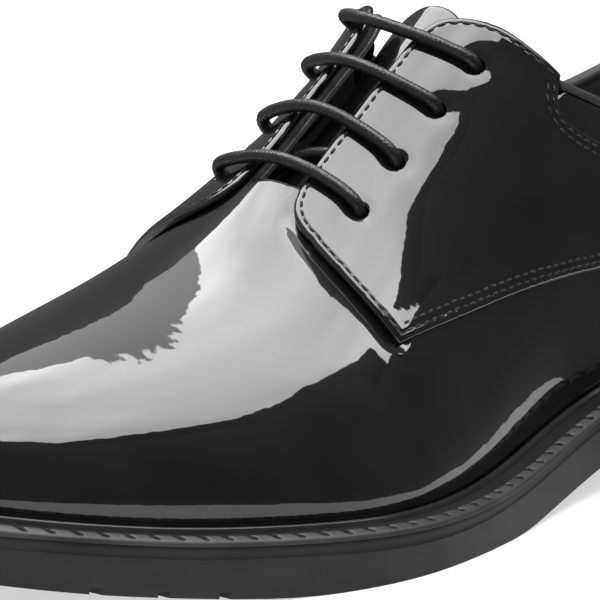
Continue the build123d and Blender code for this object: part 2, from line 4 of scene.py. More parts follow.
import bpy
import numpy as np
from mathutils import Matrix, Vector


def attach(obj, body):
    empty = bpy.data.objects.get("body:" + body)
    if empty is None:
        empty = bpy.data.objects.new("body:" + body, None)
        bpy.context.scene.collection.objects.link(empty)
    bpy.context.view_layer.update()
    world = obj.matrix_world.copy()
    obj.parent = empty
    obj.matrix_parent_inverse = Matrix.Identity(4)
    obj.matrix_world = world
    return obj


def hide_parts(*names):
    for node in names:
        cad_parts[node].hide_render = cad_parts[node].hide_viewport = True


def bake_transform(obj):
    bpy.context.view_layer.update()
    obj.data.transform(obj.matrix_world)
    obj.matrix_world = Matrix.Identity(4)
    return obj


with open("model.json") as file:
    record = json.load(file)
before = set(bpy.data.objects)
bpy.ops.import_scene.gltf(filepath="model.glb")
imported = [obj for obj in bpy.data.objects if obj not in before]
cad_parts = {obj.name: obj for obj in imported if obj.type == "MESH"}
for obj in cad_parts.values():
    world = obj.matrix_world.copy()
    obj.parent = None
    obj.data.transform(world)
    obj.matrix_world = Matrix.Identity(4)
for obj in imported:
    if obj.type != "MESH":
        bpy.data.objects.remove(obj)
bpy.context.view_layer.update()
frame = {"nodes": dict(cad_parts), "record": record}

# All shapes are worked out in millimetres in the pattern's own frame: x from the back of the
# heel, y outwards, z up.  place() turns them into metres in the model's frame.
ORIGIN = np.array([148.0, 0.9, 0.0])
MM = 0.001


def place(points):
    return (np.asarray(points, float) - ORIGIN) * MM


# ---- camera
CAMERA_AZIMUTH = math.radians(132.56)
CAMERA_ELEVATION = math.radians(12.5)
CAMERA_DISTANCE = 1020.6
CAMERA_TARGET = np.array([200.0, 10.0, 30.0])
CAMERA_LENS = 303.75
CAMERA_TURN_RIGHT, CAMERA_TURN_UP = 0.00799, 0.01736  # small turns that frame the shoe


def add_object(name, data):
    obj = bpy.data.objects.new(name, data)
    bpy.context.scene.collection.objects.link(obj)
    return obj


def aim(obj, direction):
    """Turns a camera or a light along a direction, upright."""
    obj.rotation_mode = "QUATERNION"
    obj.rotation_quaternion = Vector(direction).to_track_quat("-Z", "Y")


def add_camera():
    """Camera on the photograph's side."""
    cos_e = math.cos(CAMERA_ELEVATION)
    back = np.array([math.sin(CAMERA_AZIMUTH) * cos_e, -math.cos(CAMERA_AZIMUTH) * cos_e,
                     math.sin(CAMERA_ELEVATION)])
    right = np.array([math.cos(CAMERA_AZIMUTH), math.sin(CAMERA_AZIMUTH), 0])
    up = np.cross(back, right)
    spot = CAMERA_TARGET + CAMERA_DISTANCE * back
    data = bpy.data.cameras.new("camera")
    data.lens = CAMERA_LENS
    data.sensor_width = 36
    data.clip_start = 0.05
    data.clip_end = 20
    camera = add_object("camera", data)
    camera.location = place(spot)
    aim(camera, -back + CAMERA_TURN_RIGHT * right + CAMERA_TURN_UP * up)
    bpy.context.scene.camera = camera


add_camera()

# ---- the last, as in the CAD source
MID_Y = -1.0
HEEL = (5, 0, 40)
LATERAL = [
    (14, 21, 42), (32, 30.5, 48), (62, 33, 66), (95, 33.5, 95), (130, 35, 130), (160, 42, 158),
    (186, 48.5, 181), (212, 50, 203), (238, 41.5, 219), (262, 30, 231), (281, 17, 237),
]
TOE = (291, MID_Y, 239)
MEDIAL = [
    (276, -23, 237), (256, -37, 231), (236, -45, 221), (214, -48.5, 207), (190, -47, 186),
    (162, -38.5, 161), (130, -30, 130), (95, -28.5, 95), (62, -30, 66), (32, -29, 48),
    (14, -20, 42),
]
RIDGE_Z = [
    (38, 124), (66, 124), (95, 121.5), (130, 111.5), (150, 96), (161, 88), (172, 79.5),
    (186, 69), (207, 57.5), (222, 52.5), (240, 48.5),
]
FEATHER_Z = [
    (-8, 32), (40, 32), (80, 28.5), (110, 23), (140, 17), (172, 12), (225, 12.5), (250, 14.5),
    (270, 17.5), (302, 23.5),
]
WALL_RISE = [(0, 0.55), (60, 0.5), (100, 0.45), (150, 0.42), (200, 0.5), (240, 0.55), (300, 0.6)]
WALL_BULGE = [(0, 7), (60, 5), (100, 3), (150, 3), (200, 3), (240, 3), (300, 3)]
CROWN = [
    (0, 0.85), (60, 0.85), (100, 0.85), (130, 0.93), (145, 0.72), (160, 0.48), (180, 0.4),
    (200, 0.48), (240, 0.55), (300, 0.6),
]


class Cubic:
    """Natural or closed C2 cubic through rows of values at rising knots."""

    def __init__(self, knots, values, closed=False):
        self.t = np.asarray(knots, float)
        self.v = np.asarray(values, float)
        self.h = np.diff(self.t)
        n = len(self.t)
        last_row = n - 1
        matrix = np.zeros((n, n))
        right = np.zeros_like(self.v)
        for i in range(1, last_row):
            before, after = self.h[i - 1], self.h[i]
            matrix[i, i - 1:i + 2] = before, 2 * (before + after), after
            slope_after = (self.v[i + 1] - self.v[i]) / after
            right[i] = 6 * (slope_after - (self.v[i] - self.v[i - 1]) / before)
        matrix[0, 0] = 1
        if closed:
            first, final = self.h[0], self.h[-1]
            matrix[0, last_row] = -1
            matrix[last_row, [0, 1]] = 2 * first, first
            matrix[last_row, [last_row - 1, last_row]] = final, 2 * final
            slope_after = (self.v[1] - self.v[0]) / first
            right[last_row] = 6 * (slope_after - (self.v[-1] - self.v[-2]) / final)
        else:
            matrix[last_row, last_row] = 1
        self.c = np.linalg.solve(matrix, right)

    def __call__(self, x):
        x = np.asarray(x, float)
        i = np.clip(np.searchsorted(self.t, x, side="right") - 1, 0, len(self.h) - 1)
        h = self.h[i]
        a = (self.t[i + 1] - x) / h
        b = 1 - a
        if self.v.ndim > 1:
            a, b, h = a[..., None], b[..., None], h[..., None]
        bend = ((a**3 - a) * self.c[i] + (b**3 - b) * self.c[i + 1]) * h**2 / 6
        return a * self.v[i] + b * self.v[i + 1] + bend


def along_x(pairs):
    return Cubic([p[0] for p in pairs], [p[1] for p in pairs])


ridge_z, feather_z = along_x(RIDGE_Z), along_x(FEATHER_Z)
wall_rise, wall_bulge, crown = along_x(WALL_RISE), along_x(WALL_BULGE), along_x(CROWN)
stations = np.array([HEEL] + LATERAL + [TOE] + MEDIAL + [HEEL], float)
steps = np.diff(stations[:, :2], axis=0)
station_u = np.concatenate([[0], np.cumsum(np.hypot(steps[:, 0], steps[:, 1]))])
plan = Cubic(station_u, stations, closed=True)
LOOP = station_u[-1]


def unit(vectors):
    return vectors / np.maximum(np.linalg.norm(vectors, axis=-1, keepdims=True), 1e-12)


def section(u):
    """The four control points of the last's section that starts at feather length u."""
    x, y, ridge_x = np.moveaxis(plan(np.mod(u, LOOP)), -1, 0)
    foot = np.stack([x, y, feather_z(x)], -1)
    top = np.stack([ridge_x, np.full_like(x, MID_Y), ridge_z(ridge_x)], -1)
    out = foot[..., :2] - top[..., :2]
    width = np.linalg.norm(out, axis=-1)
    out = out / width[..., None]
    rise = top[..., 2] - foot[..., 2]
    ridge_slope = ridge_z(ridge_x + 0.5) - ridge_z(ridge_x - 0.5)
    bulge = wall_bulge(x)
    wall = foot + np.stack([out[..., 0] * bulge, out[..., 1] * bulge, wall_rise(x) * rise], -1)
    reach = width * crown(x)
    level = ridge_slope * out[..., 0]
    brow = top + np.stack([out[..., 0], out[..., 1], level], -1) * reach[..., None]
    return foot, wall, brow, top


def last_point(u, t):
    """Point of the last: t is 0 at the feather line, 1 on the ridge; below 0 it runs straight."""
    foot, wall, brow, top = section(u)
    t = np.asarray(t)[..., None]
    b = np.maximum(t, 0)
    a = 1 - b
    curve = a**3 * foot + 3 * a * a * b * wall + 3 * a * b * b * brow + b**3 * top
    return curve + 3 * (wall - foot) * np.minimum(t, 0)


RIDGE_GUARD = 0.997  # normals are read no nearer to the ridge than this
LEAN_FROM, LEAN_SPAN, LEAN = 0.8, 0.197, 0.004


def last_normal(u, t):
    """Outward unit normal; at the ends of the ridge it leans on the ridge's own normal."""
    t = np.minimum(t, RIDGE_GUARD)
    along = last_point(u + 0.1, t) - last_point(u - 0.1, t)
    across = last_point(u, t + 0.002) - last_point(u, t - 0.002)
    turned = np.cross(across, along)
    ridge_x = plan(np.mod(u, LOOP))[..., 2]
    slope = ridge_z(ridge_x + 0.5) - ridge_z(ridge_x - 0.5)
    ridge = unit(np.stack([-slope, np.zeros_like(slope), np.ones_like(slope)], -1))
    near = np.clip((np.asarray(t) - LEAN_FROM) / LEAN_SPAN, 0, 1)[..., None]
    sign = np.where((turned * ridge).sum(-1, keepdims=True) * near < 0, -1.0, 1.0)
    return unit(turned * sign + LEAN * near**3 * ridge)


# One sheet over the whole last: a runs from heel to toe, v from the outer feather line (1) over
# the ridge (0) to the inner feather line (-1).
dense_u = np.linspace(-30, LOOP + 30, 72001)
dense_ridge = plan(np.mod(dense_u, LOOP))[:, 2]
near_toe = np.abs(dense_u - station_u[len(LATERAL) + 1]) < 30
TOE_U = dense_u[near_toe][np.argmax(dense_ridge[near_toe])]
near_heel = np.abs(dense_u) < 30
HEEL_U = dense_u[near_heel][np.argmin(dense_ridge[near_heel])]
inner_half = (dense_u >= TOE_U) & (dense_u <= HEEL_U + LOOP)
inner_u, inner_ridge = dense_u[inner_half][::-1], dense_ridge[inner_half][::-1]
inner_ridge = np.maximum.accumulate(inner_ridge)


def across_u(a, v):
    """Feather length of the section that holds sheet point a, v."""
    inner = np.interp(plan(np.mod(a, LOOP))[..., 2], inner_ridge, inner_u)
    return np.where(v >= 0, a, inner)


def sheet_point(a, v):
    return last_point(across_u(a, v), 1 - np.abs(v))


def sheet_normal(a, v):
    return last_normal(across_u(a, v), 1 - np.abs(v))


cloud_a, cloud_v = np.meshgrid(np.linspace(HEEL_U, TOE_U, 260), np.linspace(-0.9, 0.9, 181),
                               indexing="ij")
cloud = sheet_point(cloud_a, cloud_v)


def on_last(x, y):
    """Points and normals of the last above plan points: the nearest grid point, then Newton."""
    x, y = np.broadcast_arrays(np.asarray(x, float), np.asarray(y, float))
    shape = x.shape
    x, y = x.ravel(), y.ravel()
    flat = cloud[..., :2].reshape(-1, 2)
    high = cloud[..., 2].reshape(-1)
    u, t = np.zeros(len(x)), np.zeros(len(x))
    for k in range(len(x)):
        miss = (flat[:, 0] - x[k]) ** 2 + (flat[:, 1] - y[k]) ** 2 - 0.002 * high
        near = int(np.argmin(miss))
        v = cloud_v.ravel()[near]
        if v * (y[k] - MID_Y) < 0:
            v = 0.001 * np.sign(y[k] - MID_Y)
        u[k] = across_u(cloud_a.ravel()[near], v)
        t[k] = 1 - abs(v)
    goal = np.stack([x, y], -1)
    for _ in range(8):
        here = last_point(u, t)
        along = (last_point(u + 0.05, t) - last_point(u - 0.05, t))[:, :2] / 0.1
        across = (last_point(u, t) - last_point(u, t - 1e-3))[:, :2] / 1e-3
        miss = goal - here[:, :2]
        bulk = along[:, 0] * across[:, 1] - along[:, 1] * across[:, 0]
        bulk = np.where(np.abs(bulk) < 1e-6, 1e-6, bulk)
        u = u + np.clip((miss[:, 0] * across[:, 1] - miss[:, 1] * across[:, 0]) / bulk, -3, 3)
        t = t + np.clip((along[:, 0] * miss[:, 1] - along[:, 1] * miss[:, 0]) / bulk, -0.1, 0.1)
        t = np.minimum(t, 1.0)
    return last_point(u, t).reshape(shape + (3,)), last_normal(u, t).reshape(shape + (3,))


# ---- pattern lines, as in the CAD
LOWER_SEAM = [
    (198, 41.4), (192, 42.1), (180, 43.4), (166, 44.7), (152, 46), (138, 46.6), (124, 46.4),
    (108, 45.2), (92, 43.2), (80, 41),
]
REAR_SEAM = [
    (80, 41), (86, 52), (96, 60.5), (108, 67), (121, 73.2), (127, 76.4), (129.8, 78.8),
    (130.8, 81.2), (130.2, 83.6), (128.4, 87),
]
TOPLINE = [
    (-12, 93), (4, 90), (15, 84.5), (30, 77.5), (50, 72), (70, 70.5), (90, 73.2),
    (105, 77.6), (117, 82), (128.4, 87),
]
WING_LINE = [
    (64, 26), (72, 34), (80, 42), (90, 49.5), (104, 53.2), (130, 54.5), (160, 56), (176, 60.5),
    (184, 68), (187, 80),
]
HEEL_PANEL_FRONT = [
    (63.6, 26), (71.6, 34.2), (79.6, 42.4), (89.8, 49.9), (104, 53.6), (113, 55), (124, 60),
    (133, 69), (136, 78), (128, 84),
]
LINING_SEAM = [(187, 80), (183, 62), (170, 40), (150, 8)]
FACING = [
    (192, 41), (193.8, 35.5), (194.6, 30), (194.6, 24), (193.6, 17.5), (191.5, 12), (188, 8.8),
    (183, 7.4), (176, 6.9), (165, 6.8), (152, 6.8), (147.5, 7.6), (144, 9.7), (140.5, 14),
    (137, 19), (132.5, 25), (128.4, 28.4),
]
FACING_MID_Y = 0.4
EYELETS = {
    1: [(181.4, 20.2), (168.4, 18.6), (155.2, 18.3), (144.5, 19.6)],
    -1: [(181.4, -16.5), (168.4, -15.5), (155.2, -14.5), (144.5, -13.5)],
}
LEATHER, STAY, LINING = 1.3, 0.8, 1.0
LINING_LEVEL = -LEATHER - STAY
INSIDE_LEVEL = LINING_LEVEL - LINING


def smooth_curve(points, count=120):
    """Points of a C2 cubic through the given ones, spaced by chord length."""
    points = np.asarray(points, float)
    chord = np.linalg.norm(np.diff(points, axis=0), axis=1)
    knots = np.concatenate([[0], np.cumsum(chord)])
    return Cubic(knots, points)(np.linspace(0, knots[-1], count))


def mirrored(points, side):
    return [(x, y if side > 0 else 2 * FACING_MID_Y - y) for x, y in points]


FAR = 300  # beyond everything, for lines that have to run on


def signed_distance(query, line):
    """Distance from points to an open line run on straight at both ends; plus on its left."""
    ends = unit(line[[1, -1]] - line[[0, -2]]) * FAR
    line = np.concatenate([[line[0] - ends[0]], line, [line[-1] + ends[1]]])
    best = np.full(len(query), 1e9)
    best_side = np.zeros(len(query))
    sign = np.ones(len(query))
    slope = np.zeros((len(query), 2))
    for p, q in zip(line[:-1], line[1:]):
        d = q - p
        share = np.clip(((query - p) @ d) / (d @ d), 0, 1)
        away = query - p - share[:, None] * d
        far = np.linalg.norm(away, axis=1)
        turn = (d[0] * away[:, 1] - d[1] * away[:, 0]) / math.sqrt(d @ d)
        closer = (far < best - 1e-7) | ((far < best + 1e-7) & (np.abs(turn) > best_side))
        best = np.where(closer, far, best)
        best_side = np.where(closer, np.abs(turn), best_side)
        sign = np.where(closer, np.where(turn >= 0, 1.0, -1.0), sign)
        direction = away / np.maximum(far, 1e-9)[:, None]
        slope = np.where(closer[:, None], direction, slope)
    return best * sign, slope


class Cut:
    """One pattern line drawn in side view (axes 0, 2) or plan (axes 0, 1).

    before and after are corners that straight runs join to its two ends."""

    def __init__(self, points, axes, keep_left=True, before=(), after=()):
        line = smooth_curve(points)
        if before:
            line = np.concatenate([np.array(before, float), line])
        if after:
            line = np.concatenate([line, np.array(after, float)])
        self.line = line
        self.axes = axes
        self.sign = 1 if keep_left else -1

    def __call__(self, points, normals):
        """Distance inside the line, measured along the surface."""
        flat, slope = signed_distance(points[:, self.axes], self.line)
        lean = (slope * normals[:, self.axes]).sum(1)
        return self.sign * flat / np.sqrt(np.maximum(1 - lean**2, 0.08))


SIDE_AXES, PLAN_AXES = [0, 2], [0, 1]


# ---- mesh tools
def new_object(name, vertices, faces, normals=None):
    """Smooth mesh object in the model's frame from pattern-frame millimetres."""
    mesh = bpy.data.meshes.new(name)
    mesh.from_pydata(place(vertices).tolist(), [], faces)
    mesh.update()
    mesh.polygons.foreach_set("use_smooth", [True] * len(mesh.polygons))
    if normals is not None:
        mesh.normals_split_custom_set([tuple(n) for n in normals])
    return add_object(name, mesh)


def grid_faces(grid, turned=False):
    """Quads of a grid of vertex numbers; turned ones run the other way round."""
    quads = np.stack([grid[:-1, :-1], grid[1:, :-1], grid[1:, 1:], grid[:-1, 1:]], -1)
    order = [0, 3, 2, 1] if turned else [0, 1, 2, 3]
    return quads[..., order].reshape(-1, 4).tolist()


def wrapped(grid):
    """The grid with its first column once more at its end."""
    return np.concatenate([grid, grid[:, :1]], 1)


def sides(polygon):
    return zip(polygon, polygon[1:] + polygon[:1])


SHEET = (sheet_point, sheet_normal)
LAST = (last_point, last_normal)


def clip(a, v, polygons, cut, inset, surface):
    """Cuts sheet polygons along one line, moved inwards by inset."""
    point_at, normal_at = surface
    points, normals = point_at(a, v), normal_at(a, v)
    value = cut(points, normals) - inset
    snap = np.abs(value) < 1e-6
    value[snap] = 1e-6
    edges = {}
    order = []
    for polygon in polygons:
        for i, j in sides(polygon):
            if value[i] * value[j] < 0:
                key = (min(i, j), max(i, j))
                if key not in edges:
                    edges[key] = len(order)
                    order.append(key)
    if order:
        lo, hi = np.array(order).T
        share_lo, share_hi = np.zeros(len(lo)), np.ones(len(lo))
        value_lo, value_hi = value[lo], value[hi]
        for step in range(7):
            share = share_lo + (share_hi - share_lo) * value_lo / (value_lo - value_hi)
            if step % 3 == 2:
                share = (share_lo + share_hi) / 2
            here_a = a[lo] + share * (a[hi] - a[lo])
            here_v = v[lo] + share * (v[hi] - v[lo])
            found = cut(point_at(here_a, here_v), normal_at(here_a, here_v)) - inset
            same = found * value_lo > 0
            share_lo = np.where(same, share, share_lo)
            value_lo = np.where(same, found, value_lo)
            share_hi = np.where(same, share_hi, share)
            value_hi = np.where(same, value_hi, found)
        start = len(a)
        a, v = np.concatenate([a, here_a]), np.concatenate([v, here_v])
    kept = []
    for polygon in polygons:
        inside = [value[i] > 0 for i in polygon]
        if all(inside):
            kept.append(polygon)
            continue
        if not any(inside):
            continue
        trimmed = []
        for i, j in sides(polygon):
            if value[i] > 0:
                trimmed.append(i)
            if value[i] * value[j] < 0:
                trimmed.append(start + edges[(min(i, j), max(i, j))])
        if len(trimmed) > 2:
            kept.append(trimmed)
    return a, v, kept


def close_toe(a, v, polygons):
    """Joins the two halves of the sheet's last row, which meet at the tip of the toe."""
    row = np.nonzero(a > TOE_U - 1e-6)[0]
    twin = {}
    for i in row[v[row] < 0]:
        gap = np.abs(v[row] + v[i])
        if gap.min() < 1e-3:
            twin[i] = row[gap.argmin()]
    return [[twin.get(i, i) for i in polygon] for polygon in polygons]


def weld(points, polygons, gap):
    """Merges neighbouring corners that lie closer than gap."""
    edges = {(min(i, j), max(i, j)): None for polygon in polygons for i, j in sides(polygon)}
    target = {}

    def root(i):
        while i in target:
            i = target[i]
        return i

    for i, j in edges:
        if np.linalg.norm(points[i] - points[j]) < gap:
            i, j = root(i), root(j)
            if i != j:
                target[max(i, j)] = min(i, j)
    result = []
    for polygon in polygons:
        merged = []
        for i in polygon:
            k = root(i)
            if k not in merged:
                merged.append(k)
        if len(merged) > 2:
            result.append(merged)
    return result


def outline_loops(polygons):
    """Chains of the edges that only one polygon uses, in polygon direction."""
    used = {side: None for polygon in polygons for side in sides(polygon)}
    follow = {}
    for i, j in used:
        if (j, i) not in used:
            follow.setdefault(i, []).append(j)
    loops = []
    while follow:
        start = next(iter(follow))
        loop, here = [], start
        while here in follow:
            loop.append(here)
            choices = follow[here]
            there = choices.pop()
            if not choices:
                del follow[here]
            here = there
        if len(loop) > 2:
            loops.append(loop)
    return loops


SHEET_WIDTH = 105  # millimetres from the feather line to the ridge, about


def sheet_grid(a_range, v_range, step):
    """Rows and columns over the sheet, about step millimetres apart."""
    rows = max(int((a_range[1] - a_range[0]) / step), 4)
    columns = max(int((v_range[1] - v_range[0]) * SHEET_WIDTH / step), 4)
    a_line = np.linspace(a_range[0], a_range[1], rows + 1)
    v_line = np.linspace(v_range[0], v_range[1], columns + 1)
    if v_range[0] < 0 < v_range[1]:
        v_line[np.argmin(np.abs(v_line))] = 0.0
    a, v = np.meshgrid(a_line, v_line, indexing="ij")
    return a.ravel(), v.ravel(), grid_faces(np.arange(a.size).reshape(a.shape), turned=True)


def tangents(normals):
    """Two unit directions across each normal."""
    first = unit(np.cross(normals, np.array([0.0, 1.0, 0.02])))
    return first, np.cross(normals, first)


def tilted(points, normals, height):
    """Normals of the surface raised by height(points)."""
    first, second = tangents(normals)
    small = 0.05
    slope_1 = (height(points + small * first) - height(points - small * first)) / (2 * small)
    slope_2 = (height(points + small * second) - height(points - small * second)) / (2 * small)
    return unit(normals - slope_1[:, None] * first - slope_2[:, None] * second)


WELD_GAP = 0.22  # of the grid step
ON_CUT = 0.3  # an outline point this near to a cut lies on it
SHARPEST = 0.6  # limits how far a corner's edge is drawn out


def panel(name, cuts, level, thick, a_range, v_range, step=1.5, relief=None, surface=SHEET):
    """Leather panel cut from a sheet, with its edges rounded to profiles, as a closed mesh.

    cuts are pairs of a cut and its profile.  Returns the object and, for each outline loop, its
    points, normals, outward directions and the number of the cut that each point lies on."""
    a, v, polygons = sheet_grid(a_range, v_range, step)
    for cut, edge in cuts:
        a, v, polygons = clip(a, v, polygons, cut, edge[0][0], surface)
    points, normals = surface[0](a, v), surface[1](a, v)
    polygons = weld(points, close_toe(a, v, polygons), WELD_GAP * step)
    used = sorted({i for polygon in polygons for i in polygon})
    number = {i: k for k, i in enumerate(used)}
    polygons = [[number[i] for i in polygon] for polygon in polygons]
    points, normals = points[used], normals[used]
    first, second, third = points[polygons[0][:3]]
    if np.cross(second - first, third - second) @ normals[polygons[0][0]] < 0:
        polygons = [polygon[::-1] for polygon in polygons]
    values = np.full((len(points), len(cuts) + 1), ON_CUT)
    for k, (cut, edge) in enumerate(cuts):
        values[:, k] = np.abs(cut(points, normals) - edge[0][0])
    base = points + normals * level
    bottom = points + normals * (level - thick)
    top, top_normals = base, normals
    if relief:
        top = base + normals * relief(points)[:, None]
        top_normals = tilted(points, normals, relief)
    size = len(points)
    backs = [[i + size for i in polygon[::-1]] for polygon in polygons]
    faces = polygons + backs
    corner_normals = [top_normals[i] for polygon in polygons for i in polygon]
    corner_normals += [-normals[i - size] for back in backs for i in back]
    vertices, total = [top, bottom], 2 * size
    outlines = []
    for loop in outline_loops(polygons):
        on_cut = np.argmin(values[loop], 1)
        common = int(np.bincount(on_cut, minlength=len(cuts) + 1)[:-1].argmax())
        edge = cuts[common][1]
        inset = edge[0][0]
        ring, ring_normals = points[loop], normals[loop]
        out_after = unit(np.cross(np.roll(ring, -1, 0) - ring, ring_normals))
        out_before = unit(np.cross(ring - np.roll(ring, 1, 0), ring_normals))
        mean = unit(out_after + out_before)
        stretch = 1 / np.maximum((mean * out_after).sum(1), SHARPEST)
        outward = mean * stretch[:, None]
        rows, row_normals = [list(loop)], [top_normals[loop]]
        heights = [h for _, h in edge]
        aways = [inset - d for d, _ in edge]
        for k in range(1, len(edge)):
            rows.append(list(range(total, total + len(loop))))
            total += len(loop)
            vertices.append(top[loop] + outward * aways[k] + ring_normals * heights[k])
            late = min(k + 1, len(edge) - 1)
            run, fall = aways[late] - aways[k - 1], heights[late] - heights[k - 1]
            if k == len(edge) - 1:
                run, fall = 0, -1
            row_normals.append(unit(ring_normals * run - mean * fall))
        rows.append(list(range(total, total + len(loop))))
        total += len(loop)
        vertices.append(bottom[loop] + outward * aways[-1])
        row_normals.append(mean)
        rows.append([i + size for i in loop])
        row_normals.append(mean)
        count, last = len(loop), len(rows) - 2
        for k in range(len(rows) - 1):
            for i in range(count):
                j = (i + 1) % count
                corners = ((k, j), (k, i), (k + 1, i), (k + 1, j))
                faces.append([rows[row][at] for row, at in corners])
                if k == last:
                    corner_normals += [-ring_normals[at] for _, at in corners]
                else:
                    corner_normals += [row_normals[row][at] for row, at in corners]
        outlines.append({"points": base[loop], "normals": ring_normals, "outward": mean,
                         "cut": on_cut, "inset": inset})
    obj = new_object(name, np.concatenate(vertices), faces, corner_normals)
    return obj, outlines


# ---- materials
def colour(value):
    """Colour of a socket; a single number stands for a grey."""
    return (*value, 1) if isinstance(value, tuple) else (value, value, value, 1)


def new_material(name, base, roughness, **sockets):
    """Principled material; sockets are named by their label with spaces as underscores."""
    material = bpy.data.materials.new(name)
    material.use_nodes = True
    shader = material.node_tree.nodes["Principled BSDF"]
    shader.inputs["Base Color"].default_value = colour(base)
    shader.inputs["Roughness"].default_value = roughness
    for label, value in sockets.items():
        shader.inputs[label.replace("_", " ")].default_value = value
    return material


def add_node(tree, kind, **values):
    """Shader node with values on its sockets."""
    node = tree.nodes.new("ShaderNode" + kind)
    for label, value in values.items():
        node.inputs[label].default_value = value
    return node


def add_texture(tree, kind, **values):
    """Texture node laid over the object in its own metres."""
    node = add_node(tree, kind, **values)
    coordinates = add_node(tree, "TexCoord")
    tree.links.new(coordinates.outputs["Object"], node.inputs["Vector"])
    return node


def add_ramp(tree, share, *stops):
    """Output that blends between two stops, each a position and a colour."""
    ramp = add_node(tree, "ValToRGB")
    for element, (position, value) in zip(ramp.color_ramp.elements, stops):
        element.position = position
        element.color = colour(value)
    tree.links.new(share, ramp.inputs["Fac"])
    return ramp.outputs["Color"]


TEXTURES = {  # kind of relief: texture node, its output and the values that never change
    "cells": ("TexVoronoi", "Distance", {}),
    "weave": ("TexWave", "Fac", {"Distortion": 1.5}),
    "waves": ("TexNoise", "Fac", {"Detail": 2.0}),
    "noise": ("TexNoise", "Fac", {"Detail": 6.0}),
}


def add_bump(material, *layers):
    """Chains bump nodes; a layer is (texture kind, scale per metre, strength, distance mm)."""
    tree = material.node_tree
    normal = None
    for kind, scale, strength, distance in layers:
        texture, output, values = TEXTURES[kind]
        height = add_texture(tree, texture, Scale=scale, **values).outputs[output]
        bump = add_node(tree, "Bump", Strength=strength, Distance=distance * MM)
        tree.links.new(height, bump.inputs["Height"])
        if normal:
            tree.links.new(normal, bump.inputs["Normal"])
        normal = bump.outputs["Normal"]
    tree.links.new(normal, tree.nodes["Principled BSDF"].inputs["Normal"])
    return normal


def mottle(material, socket, low, high, scale):
    """Lets a colour or a roughness vary over the surface with a noise."""
    tree = material.node_tree
    noise = add_texture(tree, "TexNoise", Scale=scale, Detail=4.0)
    blend = add_ramp(tree, noise.outputs["Fac"], (0.35, low), (0.65, high))
    tree.links.new(blend, tree.nodes["Principled BSDF"].inputs[socket])


def patent_leather():
    """Black leather under a thick clear lacquer: mirror-like, with the faintest waviness."""
    material = new_material("patent_leather", (0.004, 0.004, 0.0042), 0.3, Coat_Weight=1.0,
                            Specular_IOR_Level=0.05, Coat_Roughness=0.02, Coat_IOR=1.6)
    mottle(material, "Base Color", (0.003, 0.003, 0.0032), (0.006, 0.006, 0.0062), 60.0)
    normal = add_bump(material, ("waves", 26.0, 0.13, 2.0), ("waves", 110.0, 0.13, 0.5),
                      ("noise", 900.0, 0.02, 0.1))
    tree = material.node_tree
    tree.links.new(normal, tree.nodes["Principled BSDF"].inputs["Coat Normal"])
    return material


def cord_material():
    """Waxed cotton braid: dull black with small bright flecks where the wax catches light."""
    material = new_material("lace_cord", 0.005, 0.4, Specular_IOR_Level=0.5)
    mottle(material, "Roughness", 0.22, 0.6, 1500.0)
    add_bump(material, ("noise", 3500.0, 0.4, 0.08))
    return material


def mottled(name, low, high, scale, layers, roughness, **sockets):
    """Material with a mottled colour and layers of fine relief."""
    material = new_material(name, low, roughness, **sockets)
    mottle(material, "Base Color", low, high, scale)
    add_bump(material, *layers)
    return material


def dull_leather(name, low, high):
    grain = ("cells", 1400.0, 0.35, 0.15), ("noise", 500.0, 0.2, 0.15)
    return mottled(name, low, high, 140.0, grain, 0.5)


def rubber(name, low, high, roughness=0.55):
    grain = ("noise", 1500.0, 0.18, 0.08), ("noise", 260.0, 0.08, 0.15)
    return mottled(name, low, high, 90.0, grain, roughness, Specular_IOR_Level=0.28)


def metal(name, low, high):
    return mottled(name, low, high, 300.0, [("weave", 400.0, 0.15, 0.05)], 0.35, Metallic=1.0)


def woven(name, low, high):
    threads = ("weave", 420.0, 0.5, 0.15), ("noise", 1800.0, 0.3, 0.08)
    return mottled(name, low, high, 900.0, threads, 0.85)


THREAD = woven("stitch_thread", 0.008, 0.02)
MATERIALS = {
    "patent": patent_leather(),
    "binding": dull_leather("binding_leather", 0.012, 0.022),
    "lining": dull_leather("lining_leather", (0.020, 0.020, 0.021), (0.034, 0.033, 0.032)),
    "textile_lining": woven("lining_textile", 0.012, 0.024),
    "stiffener": woven("stiffener_sheet", (0.03, 0.03, 0.029), (0.05, 0.05, 0.048)),
    "welt_rubber": rubber("welt_rubber", (0.020, 0.020, 0.021), (0.036, 0.036, 0.037), 0.42),
    "midsole_rubber": rubber("midsole_rubber", 0.012, 0.018),
    "outsole_rubber": rubber("outsole_rubber", 0.013, 0.019),
    "heel_stack": rubber("heel_stack_rubber", 0.012, 0.018),
    "nail_steel": metal("nail_steel", (0.42, 0.42, 0.44), (0.58, 0.58, 0.6)),
    "shank_steel": metal("shank_steel", (0.38, 0.38, 0.4), (0.52, 0.52, 0.55)),
    "filler": rubber("cork_filler", (0.2, 0.12, 0.06), (0.36, 0.24, 0.14), 0.9),
    "insole_fibre": woven("insole_fibre", (0.35, 0.25, 0.14), (0.48, 0.36, 0.22)),
    "sock_leather": dull_leather("sock_leather", (0.018, 0.018, 0.019), (0.034, 0.034, 0.035)),
    "lace_cord": cord_material(),
    "aglet_tip": rubber("aglet_film", 0.012, 0.02, 0.12),
}
MATERIALS["stay_tape"] = MATERIALS["textile_lining"]
WELT_BEAD = rubber("welt_bead_rubber", 0.014, 0.02, 0.16)
# near-black, rough welt material for the channel and the notches: painted shade in these recesses
WELT_PAINTED_SHADE = rubber("welt_groove_painted_shade", 0.002, 0.004, 0.8)
SLOT_OF = {row["node"]: row["material_slot"] for row in frame["record"]["subparts"]}
for node, obj in frame["nodes"].items():
    obj.data.materials.clear()
    obj.data.materials.append(MATERIALS[SLOT_OF[node]])


